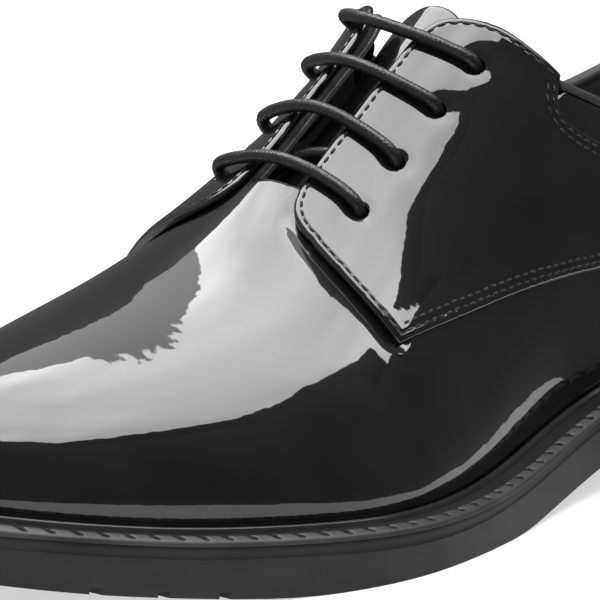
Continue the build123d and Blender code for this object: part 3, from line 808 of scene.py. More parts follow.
def finish_piece(obj, node):
    """Gives a new piece of the shoe its material, slot and body, and hides the CAD node it stands
    for.
    """
    obj.data.materials.append(MATERIALS[SLOT_OF[node]])
    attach(obj, "shoe")
    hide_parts(node)
    return obj


# ---- leather panels
CORNER = REAR_SEAM[-1]
BINDING = 2.5
# edge profiles: distance from the cut edge, height over the face
FOLDED = [
    (2.3, 0), (2.0, -0.03), (1.8, -0.12), (1.6, -0.22), (1.4, -0.14), (1.2, -0.08), (0.9, -0.12),
    (0.6, -0.22), (0.35, -0.36), (0.16, -0.52), (0.04, -0.74), (0.0, -0.95),
]
SKIVED = [(1.0, 0), (0.75, -0.04), (0.5, -0.12), (0.28, -0.25), (0.1, -0.48), (0.0, -0.8)]
PLAIN = [(0.35, 0), (0.2, -0.04), (0.08, -0.14), (0.0, -0.35)]
HOLE = [(0.3, 0), (0.2, -0.02), (0.1, -0.08), (0.03, -0.18), (0.0, -0.32)]
HOLE_RADIUS = 1.85
eyelet_axes = {side: on_last(*np.transpose(spots)) for side, spots in EYELETS.items()}


def from_eyelet(points, side):
    """Distance to the axis of the nearest eyelet."""
    best = np.full(len(points), 99.0)
    for centre, axis in zip(*eyelet_axes[side]):
        away = points - centre
        away = away - (away @ axis)[:, None] * axis
        best = np.minimum(best, np.linalg.norm(away, axis=1))
    return best


def smooth_share(share):
    return share * share * (3 - 2 * share)


DIMPLE, DIMPLE_REACH = 0.45, 1.1
STAND_OFF = 0.9
STAND_OFF_BACK, STAND_OFF_RUN = 155, 22  # x where it starts, and how far it takes to rise
STAND_OFF_TOP, STAND_OFF_TOP_RUN = -12, 10  # the same outwards from the facing
STAND_OFF_FOOT, STAND_OFF_FOOT_RUN = -36, 12  # and inwards from the welt


def quarter_relief(side):
    """The leather is drawn in round each eyelet; the inner quarter's lower front stands off."""
    def height(points):
        away = from_eyelet(points, side) - HOLE_RADIUS
        dimples = -DIMPLE * np.exp(-np.maximum(away, 0) / DIMPLE_REACH)
        if side > 0:
            return dimples
        x, y = points[:, 0], points[:, 1]
        front = np.clip((x - STAND_OFF_BACK) / STAND_OFF_RUN, 0, 1)
        outer = (np.clip((STAND_OFF_TOP - y) / STAND_OFF_TOP_RUN, 0, 1)
                 * np.clip((y - STAND_OFF_FOOT) / STAND_OFF_FOOT_RUN, 0, 1))
        return dimples + STAND_OFF * smooth_share(front) * smooth_share(outer)
    return height


def below_topline(drop):
    line = [(x, z - drop) for x, z in TOPLINE]
    return Cut(line, SIDE_AXES, keep_left=False, after=[(CORNER[0], FAR)])


BEHIND_HEEL = -60
QUARTER_INNER_Y, LINING_INNER_Y = 20, 0  # plan y of the corners that close the facing's line


def facing_cut(side, inner_y):
    """Behind the front edge and the facing of one quarter."""
    after = mirrored([(CORNER[0], inner_y), (BEHIND_HEEL, inner_y)], side)
    return Cut(mirrored(FACING, side), PLAN_AXES, keep_left=side < 0, after=after)


DIP_DEPTH, DIP_REACH, DIP_FADE = 0.75, 2.5, 3
FRONT_EDGE = 62  # points of the facing's line that run along the quarter's front edge


def vamp_dip(points):
    """The vamp is pulled in along the front edges of the quarters that press on it."""
    height = np.zeros(len(points))
    for side in (1, -1):
        front = facing_cut(side, QUARTER_INNER_Y).line[:FRONT_EDGE]
        away, _ = signed_distance(points[:, PLAN_AXES], front)
        low, _ = signed_distance(points[:, SIDE_AXES], smooth_curve(LOWER_SEAM))
        dip = DIP_DEPTH * np.exp(-(away / DIP_REACH) ** 2) * np.clip(-low / DIP_FADE + 0.5, 0, 1)
        edge_side = np.clip(side * (points[:, 1] - FACING_MID_Y) / DIP_FADE - 2, 0, 1)
        height = np.maximum(height, dip * edge_side)
    return -height


def leather(node, name, *arguments, **options):
    """Panel that stands for a CAD node; returns its outlines."""
    obj, outlines = panel(name, *arguments, **options)
    finish_piece(obj, node)
    return outlines


def eyelet_cut(side):
    return lambda points, normals: from_eyelet(points, side) - HOLE_RADIUS


VAMP_FROM, QUARTER_FROM, HEEL_PANEL_LENGTH = 40, 60, 180  # from the heel along the feather
leather("vamp", "vamp_leather",
        [(Cut(WING_LINE, SIDE_AXES, False, before=[(64, -FAR)], after=[(187, FAR)]), SKIVED)],
        0, LEATHER, (HEEL_U + VAMP_FROM, TOE_U), (-1.0, 1.0), step=1.3, relief=vamp_dip)

quarter_outlines = {}
for side, word in ((1, "lateral"), (-1, "medial")):
    upper = (0.0, 0.9) if side > 0 else (-0.9, 0.0)
    whole = (0.0, 1.0) if side > 0 else (-1.0, 0.0)
    quarter_outlines[side] = leather(
        f"{word}_quarter", f"{word}_quarter_leather",
        [(Cut(LOWER_SEAM, SIDE_AXES, False), FOLDED),
         (Cut(REAR_SEAM, SIDE_AXES, False, after=[(CORNER[0], FAR)]), FOLDED),
         (facing_cut(side, QUARTER_INNER_Y), FOLDED), (eyelet_cut(side), HOLE)],
        LEATHER, LEATHER, (HEEL_U + QUARTER_FROM, TOE_U), upper, step=1.1,
        relief=quarter_relief(side))
    leather(f"{word}_heel_panel", f"{word}_heel_leather",
            [(Cut(HEEL_PANEL_FRONT, SIDE_AXES, before=[(63.6, -FAR)], after=[(128, FAR)]), SKIVED),
             (below_topline(BINDING), SKIVED)],
            0, LEATHER, (HEEL_U, HEEL_U + HEEL_PANEL_LENGTH), whole)
    leather(f"{word}_quarter_lining", f"{word}_lining_leather",
            [(Cut(LINING_SEAM, SIDE_AXES, False, before=[(187, FAR)], after=[(150, -FAR)]), PLAIN),
             (below_topline(BINDING), PLAIN), (facing_cut(side, LINING_INNER_Y), PLAIN),
             (eyelet_cut(side), PLAIN)],
            LINING_LEVEL, LINING, (HEEL_U, TOE_U), whole)

BACKSTAY_HALF, BACKSTAY_FOOT = 8.5, 0.9


def across_back(points, normals):
    return BACKSTAY_HALF - np.abs(points[:, 1] - MID_Y)


def above_feather(points, normals):
    return points[:, 2] - feather_z(points[:, 0]) - BACKSTAY_FOOT


leather("backstay", "backstay_leather",
        [(across_back, FOLDED), (below_topline(BINDING), FOLDED), (above_feather, SKIVED)],
        LEATHER, LEATHER, (-13.0, 13.0), (0.0, 0.9), step=1.1, surface=LAST)


# ---- swept pieces
def sweep_mesh(name, rings, sharp):
    """Closed mesh through rings of points, with its two ends capped."""
    rings = np.asarray(rings, float)
    index = np.arange(rings.shape[0] * rings.shape[1]).reshape(rings.shape[:2])
    faces = grid_faces(wrapped(index)) + [index[0].tolist(), index[-1][::-1].tolist()]
    return outwards(new_object(name, rings.reshape(-1, 3), faces), sharp)


def outwards(obj, sharp):
    """Turns every face outwards; edges sharper than so many degrees stay sharp."""
    mesh = obj.data
    mesh.calc_loop_triangles()
    volume = 0.0
    for triangle in mesh.loop_triangles:
        first, second, third = (mesh.vertices[i].co for i in triangle.vertices)
        volume += first.dot(second.cross(third))
    if volume < 0:
        mesh.flip_normals()
    if sharp:
        mesh.set_sharp_from_angle(angle=math.radians(sharp))
    return obj


# collar binding: a soft roll along the topline
BINDING_SECTION = [  # along the surface normal, below the topline
    (0.02, 2.6), (0.12, 1.9), (0.1, 1.3), (-0.05, 0.8), (-0.4, 0.35), (-0.9, 0.08), (-1.5, 0.0),
    (-2.1, 0.08), (-2.65, 0.35), (-3.0, 0.8), (-3.18, 1.3), (-3.2, 1.9), (-3.12, 2.6),
]
topline_z = along_x(TOPLINE)


def topline_point(u):
    """Height on the section where the side view meets the topline, and the surface there."""
    low, high = np.zeros(len(u)), np.full(len(u), 0.999)
    for _ in range(40):
        middle = (low + high) / 2
        here = last_point(u, middle)
        under = here[:, 2] < topline_z(here[:, 0])
        low = np.where(under, middle, low)
        high = np.where(under, high, middle)
    t = (low + high) / 2
    down = unit(last_point(u, t - 0.01) - last_point(u, t))
    return last_point(u, t), last_normal(u, t), down


def first_u_at_corner(side):
    """Feather length of the section whose topline point is the front corner."""
    u = np.linspace(60, 200, 561) * side
    here, _, _ = topline_point(u)
    return u[np.argmin(np.abs(here[:, 0] - CORNER[0]))]


collar_u = np.linspace(first_u_at_corner(-1), first_u_at_corner(1), 420)
collar, collar_normal, collar_down = topline_point(collar_u)
rings = [collar + n * collar_normal + b * collar_down for n, b in BINDING_SECTION]
finish_piece(sweep_mesh("collar_binding_roll", np.stack(rings, 1), 60), "collar_binding")


# ---- tongue
TONGUE_FRONT, TONGUE_BACK = 189, 138
TONGUE_HALF = along_x([(136, 18.5), (145, 20), (165, 22), (180, 20), (192, 15)])
TONGUE_UNDER_VAMP = INSIDE_LEVEL - 0.9
LACE = 2.8
TONGUE_UNDER_LACE = INSIDE_LEVEL - LACE - 1.5
TONGUE_DROP, TONGUE_ROUNDING = 8.0, 4.0


def tongue_grid(depth, trim, rows=72, columns=49):
    """Points of the tongue's face at a depth; trim draws its outline in."""
    share, across = np.meshgrid(np.linspace(0, 1, rows), np.linspace(-1, 1, columns),
                                indexing="ij")
    back = TONGUE_BACK + trim + TONGUE_ROUNDING * across**2
    x = TONGUE_FRONT + share * (back - TONGUE_FRONT)
    dive = np.clip((TONGUE_FRONT - x) / TONGUE_DROP, 0, 1)
    level = TONGUE_UNDER_VAMP + smooth_share(dive) * (TONGUE_UNDER_LACE - TONGUE_UNDER_VAMP)
    y = FACING_MID_Y + across * (TONGUE_HALF(x) - trim)
    points, normals = on_last(x, y)
    return points + normals * (level - depth)[..., None]


def slab_mesh(name, layers):
    """Closed mesh through stacked grids; the first is the top and the last the bottom."""
    rows, columns = layers[0].shape[:2]
    grid = np.arange(rows * columns).reshape(rows, columns)
    rim = np.concatenate([grid[0, :-1], grid[:-1, -1], grid[-1, :0:-1], grid[:0:-1, 0]])
    vertices = [layers[0].reshape(-1, 3)]
    faces = grid_faces(grid, turned=True)
    total = rows * columns
    rings = [rim]
    for layer in layers[1:-1]:
        vertices.append(layer.reshape(-1, 3)[rim])
        rings.append(np.arange(total, total + len(rim)))
        total += len(rim)
    vertices.append(layers[-1].reshape(-1, 3))
    rings.append(rim + total)
    faces += grid_faces(wrapped(np.array(rings[::-1])), turned=True)
    faces += grid_faces(grid + total)
    return outwards(new_object(name, np.concatenate(vertices), faces), 50)


tongue = slab_mesh("tongue_leather", [
    tongue_grid(0, 0.6), tongue_grid(0.12, 0.3), tongue_grid(0.4, 0.05), tongue_grid(0.7, 0),
    tongue_grid(LEATHER, 0)])
tongue_lining = slab_mesh("tongue_lining_leather", [
    tongue_grid(LEATHER, 0.2), tongue_grid(LEATHER + 0.3, 0.1), tongue_grid(LEATHER + LINING, 0.3)])
for obj, node in ((tongue, "tongue"), (tongue_lining, "tongue_lining")):
    obj.data.materials.append(MATERIALS[SLOT_OF[node]])
    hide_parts(node)
    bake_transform(obj)


# ---- stitches
STITCH_PITCH, STITCH_LENGTH, STITCH_WIDTH, STITCH_HEIGHT = 2.6, 1.95, 0.62, 0.5
STITCH_SAG, STITCH_SIDES, STITCH_LOOK = 0.28, 6, 0.4
CAPSULE = [(-0.5, 0.0), (-0.44, 0.6), (-0.25, 0.95), (0.0, 1.0), (0.25, 0.95), (0.44, 0.6),
           (0.5, 0.0)]


def stitch_row(points, normals):
    """Small thread capsules at an even pitch along a line; returns vertices and faces."""
    run = np.linalg.norm(np.diff(points, axis=0), axis=1)
    length = np.concatenate([[0], np.cumsum(run)])
    number = max(int(length[-1] / STITCH_PITCH), 1)
    where = (np.arange(number) + 0.5) * length[-1] / number
    vertices, faces = [], []
    for s in where:
        ends = [np.array([np.interp(s + k, length, points[:, c]) for c in range(3)])
                for k in (-STITCH_LOOK, 0.0, STITCH_LOOK)]
        normal = unit(np.array([np.interp(s, length, normals[:, c]) for c in range(3)]))
        along = unit(ends[2] - ends[0])
        across = unit(np.cross(normal, along))
        normal = np.cross(along, across)
        start = len(vertices)
        for share, width in CAPSULE:
            sag = -STITCH_SAG * (2 * share) ** 2
            for k in range(STITCH_SIDES):
                turn = math.tau * k / STITCH_SIDES
                vertices.append(ends[1] + along * share * STITCH_LENGTH
                                + across * width * STITCH_WIDTH / 2 * math.cos(turn)
                                + normal * (sag + width * STITCH_HEIGHT / 2 * math.sin(turn)))
        rings = np.arange(start, len(vertices)).reshape(len(CAPSULE), STITCH_SIDES)
        faces += grid_faces(wrapped(rings), turned=True)
    return vertices, faces


def stitches(name, rows):
    """One object for several rows; a row is (points, normals)."""
    vertices, faces = [], []
    for points, normals in rows:
        more, more_faces = stitch_row(points, normals)
        faces += [[i + len(vertices) for i in face] for face in more_faces]
        vertices += more
    obj = new_object(name, np.array(vertices), faces)
    obj.data.materials.append(THREAD)
    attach(obj, "shoe")


def rows_along(outline, wanted, distance, height):
    """Runs of an outline that lie on the wanted cuts, moved to a distance from the edge."""
    mask = np.isin(outline["cut"], wanted)
    if mask.all():
        turns = [0]
    else:
        turns = [i for i in range(len(mask)) if mask[i] and not mask[i - 1]]
    move = outline["inset"] - distance
    points = outline["points"] + outline["outward"] * move + outline["normals"] * height
    result = []
    for i in turns:
        chain = []
        k = i
        while mask[k % len(mask)] and len(chain) < len(mask):
            chain.append(k % len(mask))
            k += 1
        if len(chain) > 3:
            result.append((points[chain], outline["normals"][chain]))
    return result


LOWER, REAR, FRONT = 0, 1, 2  # the quarter's cuts
FIRST_ROW, SECOND_ROW = 1.6, 3.2  # distance from the edge
for side, word in ((1, "lateral"), (-1, "medial")):
    outer = max(quarter_outlines[side], key=lambda o: len(o["points"]))
    rows = rows_along(outer, [FRONT], FIRST_ROW, 0.0)
    rows += rows_along(outer, [LOWER, REAR], FIRST_ROW, 0.0)
    rows += rows_along(outer, [LOWER, REAR], SECOND_ROW, 0.1)
    stitches(f"{word}_quarter_stitches", rows)


# ---- bottom
def rim_frame(u):
    """Feather points and outward plan directions."""
    here = plan(np.mod(u, LOOP))[:, :2]
    along = unit(plan(np.mod(u + 0.5, LOOP))[:, :2] - plan(np.mod(u - 0.5, LOOP))[:, :2])
    return here, np.stack([-along[:, 1], along[:, 0]], -1)


WELT_PROFILE = [  # outwards from the feather line, height over it
    (0.3, -1.85), (0.3, -0.2), (0.36, 0.2), (0.55, 0.42), (0.85, 0.5), (1.2, 0.46), (1.5, 0.28),
    (1.68, 0.0), (1.78, -0.4), (1.95, -0.66), (2.6, -0.72), (4.2, -0.74), (5.0, -0.7),
    (5.2, -0.6), (5.35, -0.35), (5.5, -0.2), (5.7, -0.12), (5.95, -0.12), (6.2, -0.18),
    (6.45, -0.26), (6.7, -0.36), (6.95, -0.48), (7.2, -0.62), (7.45, -0.8), (7.65, -1.0),
    (7.8, -1.25), (7.88, -1.55), (7.9, -1.87),
]
NOTCH_PITCH, NOTCH_WIDTH, NOTCH_SLANT = 4.9, 1.3, 0.45
NOTCH_FROM, NOTCH_TO, NOTCH_BLUR = 5.0, 7.0, 0.14  # outwards, across the ridge
NOTCH_SEED = 5.2  # where the slant is counted from
NOTCH_FLOOR, NOTCH_FALL = -0.72, 0.25 / 2.5  # height of its floor, and fall outwards
# the near-black welt material is painted shade: it fills the channel out to the groove's edge and
# the corners cut deep into a notch
BEAD_EDGE, GROOVE_SHADE_EDGE = 1.8, 5.25  # where the bead ends and where the dark groove does
NOTCH_SHADE_DEPTH = 0.12  # a corner cut deeper than this lies in a notch
WELT_BACK = 70


def welt_rings(u, arc, notched):
    """Welt sections; notches are cut into the ridge from its inner side."""
    here, outward = rim_frame(u)
    base = feather_z(here[:, 0])
    rings = []
    for w, h in WELT_PROFILE:
        height = np.full(len(u), float(h))
        if notched and w > NOTCH_FROM:
            phase = np.mod(arc + NOTCH_SLANT * (w - NOTCH_SEED) * 2, NOTCH_PITCH) - NOTCH_PITCH / 2
            pulse = np.exp(-(np.abs(phase) / (NOTCH_WIDTH / 2)) ** 4)
            reach = 1 / (1 + math.exp((w - NOTCH_TO) / NOTCH_BLUR))
            lowest = NOTCH_FLOOR - NOTCH_FALL * (w - NOTCH_FROM)
            height = height - pulse * reach * np.maximum(height - lowest, 0)
        rings.append(np.concatenate([here + outward * w, (base + height)[:, None]], -1))
    return np.stack(rings, 1)


fine_u = np.linspace(0, LOOP, 2601)[:-1]
fine_here, _ = rim_frame(fine_u)
step_length = np.linalg.norm(np.diff(fine_here, axis=0, append=fine_here[:1]), axis=1)
fine_arc = np.concatenate([[0], np.cumsum(step_length)[:-1]])
front = fine_here[:, 0] > WELT_BACK
front_u, front_arc = fine_u[front], fine_arc[front]
back_u = np.concatenate([fine_u[(~front) & (fine_u > LOOP / 2)] - LOOP,
                         fine_u[(~front) & (fine_u < LOOP / 2)]])
front_arc = front_arc - front_arc[0]


def welt_piece(name, u, arc, notched, node):
    """One length of welt: glossy bead, groove and notches painted near-black as shade, pale ridge.
    """
    rings = welt_rings(u, arc, notched)
    plain = welt_rings(u, arc, False)
    # corners cut deep into a notch are marked for painted shade
    cut = plain[..., 2] - rings[..., 2] > NOTCH_SHADE_DEPTH
    obj = finish_piece(sweep_mesh(name, rings, 50), node)
    obj.data.materials.append(WELT_BEAD)
    obj.data.materials.append(WELT_PAINTED_SHADE)
    width = np.array([w for w, _ in WELT_PROFILE])
    size = len(width)
    for polygon in obj.data.polygons:
        if len(polygon.vertices) > 4:
            continue
        spots = [divmod(i, size) for i in polygon.vertices]
        middle = np.mean([width[k] for _, k in spots])
        if middle < BEAD_EDGE:
            polygon.material_index = 1
        # the channel and the notch floors take the near-black material: painted shade in these
        # recesses
        elif middle < GROOVE_SHADE_EDGE or sum(cut[i, k] for i, k in spots) > 1:
            polygon.material_index = 2


welt_piece("notched_welt", front_u, front_arc, True, "welt")
welt_piece("plain_heel_rand", back_u, back_u, False, "heel_rand")

# midsole band with the groove line at its foot
MIDSOLE_PROFILE = [
    (6.55, -1.9), (6.85, -2.0), (7.0, -2.25), (7.0, -3.2), (6.96, -4.1), (7.02, -4.3),
    (7.1, -4.42), (7.1, -4.55), (6.95, -4.66), (6.5, -4.72), (6.35, -4.78),
]
sole_u = np.linspace(0, LOOP, 901)[:-1]
sole_here, sole_out = rim_frame(sole_u)
sole_base = feather_z(sole_here[:, 0])


def rim_slab(name, profile):
    """Closed slab inside the rim: profile down its side, flat fan top and bottom."""
    rings = [np.concatenate([sole_here + sole_out * w, (sole_base + h)[:, None]], -1)
             for w, h in profile]
    count = len(sole_u)
    index = np.arange(len(rings) * count).reshape(len(rings), count)
    faces = grid_faces(wrapped(index), turned=True)
    half = count // 2
    for ring, way in ((index[0], 1), (index[-1], -1)):
        back = ring[::-1]
        fan = np.stack([ring[:half - 1], ring[1:half], back[1:half], back[:half - 1]], -1)
        faces += fan[:, ::way].tolist()
    return outwards(new_object(name, np.concatenate(rings), faces), 50)


finish_piece(rim_slab("midsole_band", MIDSOLE_PROFILE), "midsole")

# ---- lace
LACE_CLEAR = 0.35
BAR_LEVEL = LEATHER + LACE / 2 + LACE_CLEAR
LOOP_LEVEL = BAR_LEVEL + 0.8  # the medial ends stand a little proud
RISER_LEVEL = INSIDE_LEVEL - LACE / 2 - LACE_CLEAR  # inside the shoe
BOW = [0.8, 1.9, 4.6, 5.8]  # how far each crossing sags down the slope, towards the toe
LOOP_RUN = 4.5  # from the medial eyelet to the top of the loop
# plan y, share of the bow and height of a crossing between the loop and the lateral eyelet
CROSSING = [(-3, 0.9, BAR_LEVEL), (4, 1, BAR_LEVEL), (12, 0.65, BAR_LEVEL)]
DIAGONAL = [(173, 6.5), (174.5, -7)]  # plan points of the run that changes sides inside
SIDE_RUN = [(172, 23.6), (160, 24.2), (149, 24.2)]  # and of the run back up the lateral side


def off_last(x, y, level):
    point, normal = on_last(x, y)
    return point + level * normal


def at_eyelet(row, side, level):
    x, y = EYELETS[side][row]
    return off_last(x, y, level)


def bar(row):
    """One crossing over the facings, from the inner eyelet to the outer one."""
    x, y = EYELETS[-1][row]
    loop = [off_last(x + 0.5 * BOW[row], y + LOOP_RUN, LOOP_LEVEL)]
    loop += [off_last(x + share * BOW[row], y, level) for y, share, level in CROSSING]
    return [at_eyelet(row, -1, LOOP_LEVEL)] + loop + [at_eyelet(row, 1, BAR_LEVEL)]


def inside_run(row, side):
    return at_eyelet(row, side, RISER_LEVEL)


LATERAL_END = [(139.5, 20.2, 84.4), (136, 22.6, 81.1)]
MEDIAL_END = [(138.4, -18.2, 84.2), (135.4, -19.7, 81.2)]
lace_points = [np.array(p) for p in MEDIAL_END[::-1]]
lace_points += [inside_run(3, -1)] + bar(3) + [inside_run(3, 1)]
lace_points += [inside_run(2, 1)] + bar(2)[::-1] + [inside_run(2, -1)]
lace_points += [inside_run(1, -1)] + bar(1) + [inside_run(1, 1)]
lace_points += [off_last(x, y, RISER_LEVEL) for x, y in DIAGONAL]
lace_points += [inside_run(0, -1)] + bar(0) + [inside_run(0, 1)]
lace_points += [off_last(x, y, RISER_LEVEL) for x, y in SIDE_RUN]
lace_points += [np.array(p) for p in LATERAL_END]


def spline_line(points):
    """The route's own smooth line, read from a NURBS spline with the points as controls."""
    data = bpy.data.curves.new("route", "CURVE")
    data.dimensions = "3D"
    data.resolution_u = 24
    spline = data.splines.new("NURBS")
    spline.points.add(len(points) - 1)
    for point, place_at in zip(spline.points, place(points)):
        point.co = (*place_at, 1)
    spline.order_u = 3
    spline.use_endpoint_u = True
    holder = add_object("route", data)
    bpy.context.view_layer.update()
    mesh = bpy.data.meshes.new_from_object(holder)
    line = np.array([v.co for v in mesh.vertices], float)
    bpy.data.objects.remove(holder)
    bpy.data.curves.remove(data)
    bpy.data.meshes.remove(mesh)
    return line


def even_line(line, gap):
    """Points at an even gap along a line, and how far along it each one lies."""
    run = np.linalg.norm(np.diff(line, axis=0), axis=1)
    keep = np.concatenate([[True], run > 1e-9])
    line = line[keep]
    length = np.concatenate([[0], np.cumsum(np.linalg.norm(np.diff(line, axis=0), axis=1))])
    count = max(int(length[-1] / gap), 4)
    where = np.linspace(0, length[-1], count + 1)
    return np.stack([np.interp(where, length, line[:, c]) for c in range(3)], -1), where


BRAID_STRANDS, BRAID_STEP, BRAID_DEPTH = 9, 0.95, 0.2
ROUND_END = 0.8  # length over which a cut end is rounded


def braided_tube(name, line, gap, around):
    """Round braid along a line of metres: strands cross over and under in small lozenges."""
    points, where = even_line(line, gap * MM)
    along = unit(np.gradient(points, axis=0))
    side = np.cross(along[0], [0, 0, 1.0])
    if np.linalg.norm(side) < 0.1:
        side = np.cross(along[0], [0, 1.0, 0])
    frames = [unit(side)]
    for k in range(1, len(points)):
        turned = frames[-1] - along[k] * (frames[-1] @ along[k])
        frames.append(unit(turned))
    first = np.array(frames)
    second = np.cross(along, first)
    turn = np.arange(around) / around * math.tau
    s = where[:, None] / MM / BRAID_STEP
    p = turn[None] / math.tau * BRAID_STRANDS + s
    q = turn[None] / math.tau * BRAID_STRANDS - s
    over = (np.floor(p) + np.floor(q)) % 2 == 0
    hump = np.where(over, np.sin(math.pi * (p % 1)), np.sin(math.pi * (q % 1)))
    size = LACE / 2 - BRAID_DEPTH * (1 - np.sqrt(np.abs(hump)))
    to_end = np.minimum(where, where[-1] - where) / MM
    rounding = 1 - (1 - np.minimum(to_end / ROUND_END, 1)) ** 2
    size = size * np.sqrt(np.clip(rounding, 0.02, 1))[:, None]
    spoke = (np.cos(turn)[None, :, None] * first[:, None]
             + np.sin(turn)[None, :, None] * second[:, None])
    ring = points[:, None] + MM * size[..., None] * spoke
    return sweep_mesh(name, ring / MM + ORIGIN, None)


lace_line = spline_line(lace_points)
finish_piece(braided_tube("held_lace", lace_line, gap=0.24, around=40), "lace")

LATERAL_TAIL = [
    (136, 22.6, 81.1), (132.3, 25.14, 77.61), (120, 27.2, 68.5), (105, 28, 56.5), (91, 27.9, 44.5),
    (77, 26.2, 36.6), (60, 22, 36), (45, 15.5, 37), (32, 7, 37.4),
]
MEDIAL_TAIL = [
    (135.4, -19.7, 81.2), (130, -22.4, 75.8), (116, -23.2, 66), (102, -23.5, 54.5),
    (89.5, -23.4, 43.5), (77, -22.2, 36.6), (64, -19.6, 35.9), (52, -16.5, 36.6),
]
AGLET = 3.2
AGLET_SHAPE = [(0.0, 0.9), (0.4, 1.0), (6.0, 1.0), (6.3, 0.95), (6.6, 1.0), (18.6, 0.97),
               (19.5, 0.86), (20.0, 0.6)]


def aglet_mesh(name, start, direction):
    """Film tip with a crimp ring and a rounded nose; start is in metres."""
    side = unit(np.cross(direction, [0, 0, 1.0]))
    other = np.cross(side, direction)
    turn = np.arange(28) / 28 * math.tau
    rings = []
    for run, share in AGLET_SHAPE:
        centre = start + direction * run * MM
        size = AGLET / 2 * share * MM
        rings.append(centre + size * (np.cos(turn)[:, None] * side + np.sin(turn)[:, None] * other))
    return sweep_mesh(name, np.array(rings) / MM + ORIGIN, 40)


for points, word, length in ((LATERAL_TAIL, "lateral", 0.1239), (MEDIAL_TAIL, "medial", 0.0996)):
    line = spline_line(points)
    tail = braided_tube(f"{word}_lace_end", line, gap=0.3, around=32)
    finish_piece(tail, f"{word}_lace_tail")
    tip = aglet_mesh(f"{word}_aglet_tip", line[-1], unit(line[-1] - line[-2]))
    finish_piece(tip, f"{word}_aglet")


# ---- floor, backdrop and lights
# half outline of the part of the floor that the leather mirrors, metres
FLOOR_EDGE = [
    (0.26, 0.0), (0.25, 0.06), (0.2, 0.11), (0.15, 0.145), (0.1, 0.145), (0.05, 0.12), (0, 0.085),
    (-0.05, 0.067), (-0.12, 0.064), (-0.19, 0.055), (-0.21, 0.0),
]

FLOOR_RINGS = (0.5, 0.8, 1.2, 1.7, 1.9, 2.1, 2.3, 2.5, 2.7, 3.2)  # metres
RISE_FROM, RISE_RUN, RISE = 1.5, 1.7, 1.6  # where the backdrop starts to rise, and how fast


def floor_meshes():
    """Pale floor in two parts: what the leather mirrors, and the rest, rising far behind."""
    half = np.array(FLOOR_EDGE)
    edge = np.concatenate([half, half[-2:0:-1] * (1, -1)])
    edge = np.concatenate([edge, np.zeros((len(edge), 1))], 1)
    turn = np.arctan2(edge[:, 1], edge[:, 0])
    inner = new_object("floor_near", edge / MM + ORIGIN, [list(range(len(edge)))])
    rings = [edge]
    back = np.array([-math.sin(CAMERA_AZIMUTH), math.cos(CAMERA_AZIMUTH)])
    for reach in FLOOR_RINGS:
        ring = np.stack([reach * np.cos(turn), reach * np.sin(turn), 0 * turn], -1)
        behind = np.maximum(ring[:, :2] @ back - RISE_FROM, 0)
        ring[:, 2] = RISE * np.minimum(behind, RISE_RUN) ** 2
        rings.append(ring)
    vertices = np.concatenate(rings)
    index = np.arange(len(vertices)).reshape(len(rings), len(edge))
    outer = new_object("floor_far", vertices / MM + ORIGIN, grid_faces(wrapped(index)))
    return inner, outer


floor_material = new_material("pale_floor", 0.45, 0.9, Specular_IOR_Level=0.0,
                              Emission_Color=(1, 1, 1, 1), Emission_Strength=0.6)
mottle(floor_material, "Base Color", 0.44, 0.46, 3.0)
floor_near, floor_far = floor_meshes()
for part in (floor_near, floor_far):
    part.data.materials.append(floor_material)
floor_far.visible_glossy = False


def reflected_panel(name, corners, strength, patchy=0.0):
    """Flat glowing panel that only mirror-like surfaces see; corners are metres."""
    mesh = bpy.data.meshes.new(name)
    mesh.from_pydata([tuple(c) for c in corners], [], [list(range(len(corners)))])
    material = bpy.data.materials.new(name)
    material.use_nodes = True
    tree = material.node_tree
    tree.nodes.clear()
    glow = add_node(tree, "Emission", Strength=strength)
    tree.links.new(glow.outputs["Emission"], add_node(tree, "OutputMaterial").inputs["Surface"])
    if patchy:
        noise = add_texture(tree, "TexNoise", Scale=2.2, Detail=1.0)
        blend = add_ramp(tree, noise.outputs["Fac"], (0.35, 1 - patchy), (0.7, 1))
        tree.links.new(blend, glow.inputs["Color"])
    mesh.materials.append(material)
    obj = add_object(name, mesh)
    for flag in ("camera", "diffuse", "shadow", "transmission", "volume_scatter"):
        setattr(obj, "visible_" + flag, False)


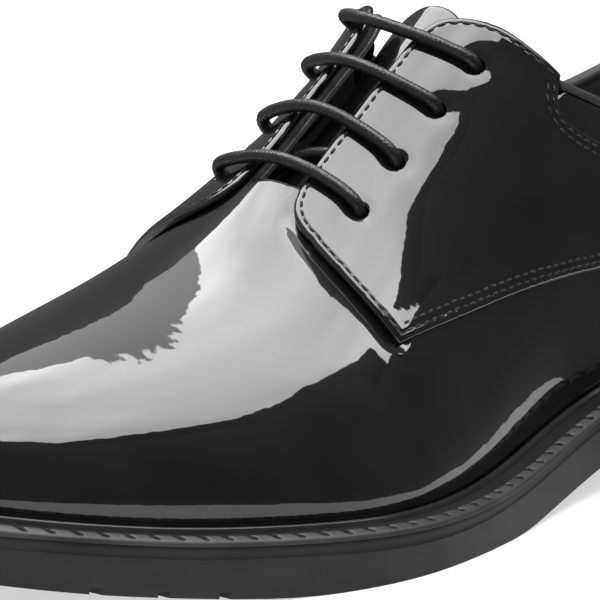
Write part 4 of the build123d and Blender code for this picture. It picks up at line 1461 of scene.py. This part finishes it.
BOX_HEIGHT = 1.5
BOX_FAR_EDGE = [
    (-1.15, 0.8), (-0.84, 0.56), (-0.6, 0.53), (-0.4, 0.53), (-0.3, 0.6), (-0.2, 0.7),
    (-0.08, 0.73), (0.1, 0.64), (0.27, 0.32),
]
BOX_NEAR_EDGE = [(0.3, -0.7), (0.2, -1.05), (-0.54, -1.05)]
BOX_TOE_EDGE = [(-0.55, -0.5), (-0.44, -0.2), (-0.41, 0.0), (-0.46, 0.12)]
BOX_OUTLINE = BOX_FAR_EDGE + BOX_NEAR_EDGE + BOX_TOE_EDGE + [(-0.95, 0.4), (-1.15, 0.6)]
DIM_OUTLINE = BOX_NEAR_EDGE[-1:] + BOX_TOE_EDGE[:3] + [(-0.62, -0.2), (-0.95, -0.7), (-0.95, -1.3)]
RIM_WIDTH = 0.14
RIM_OUTLINE = BOX_FAR_EDGE + [(x, y + RIM_WIDTH) for x, y in BOX_FAR_EDGE[::-1]]
BOX_FORWARD = 0.05  # metres


def overhead(name, outline, strength, patchy=0.0):
    """Glowing panel over the shoe; its outline is given as shares of its height."""
    corners = [(x * BOX_HEIGHT + BOX_FORWARD, y * BOX_HEIGHT, BOX_HEIGHT) for x, y in outline]
    reflected_panel(name, corners, strength, patchy)


overhead("top_softbox", BOX_OUTLINE, strength=7.6, patchy=0.25)
overhead("dim_panel", DIM_OUTLINE, strength=1.4)
overhead("softbox_black_rim", RIM_OUTLINE, strength=0.02)


def area_light(name, spot, target, size, power):
    """Square area light that mirrors do not show; spot and target are in metres."""
    data = bpy.data.lights.new(name, "AREA")
    data.shape = "SQUARE"
    data.size = size
    data.energy = power
    light = add_object(name, data)
    light.location = spot
    aim(light, Vector(target) - Vector(spot))
    light.visible_camera = False
    light.visible_glossy = False


area_light("top_light", (-0.1, 0.2, 1.6), (0, 0, 0), size=1.6, power=48)
area_light("front_light", (1.3, 1.0, 0.8), (0.03, 0, 0.03), size=0.9, power=12)
area_light("back_light", (-1.2, -1.2, 0.9), (0, 0, 0.03), size=1.0, power=10)


BRIGHT_SIDE = (0.77, -0.64, 0.0)


def studio_world():
    """Dim grey all round, brighter beyond the toe on the inner side."""
    world = bpy.data.worlds.new("studio")
    bpy.context.scene.world = world
    world.use_nodes = True
    tree = world.node_tree
    coordinates = add_node(tree, "TexCoord")
    towards = add_node(tree, "VectorMath")
    towards.operation = "DOT_PRODUCT"
    towards.inputs[1].default_value = Vector(BRIGHT_SIDE).normalized()
    tree.links.new(coordinates.outputs["Generated"], towards.inputs[0])
    blend = add_ramp(tree, towards.outputs["Value"], (0.1, (0.12, 0.12, 0.122)),
                     (0.95, (0.5, 0.5, 0.505)))
    tree.links.new(blend, tree.nodes["Background"].inputs["Color"])


studio_world()
bpy.context.scene.view_settings.view_transform = "Standard"
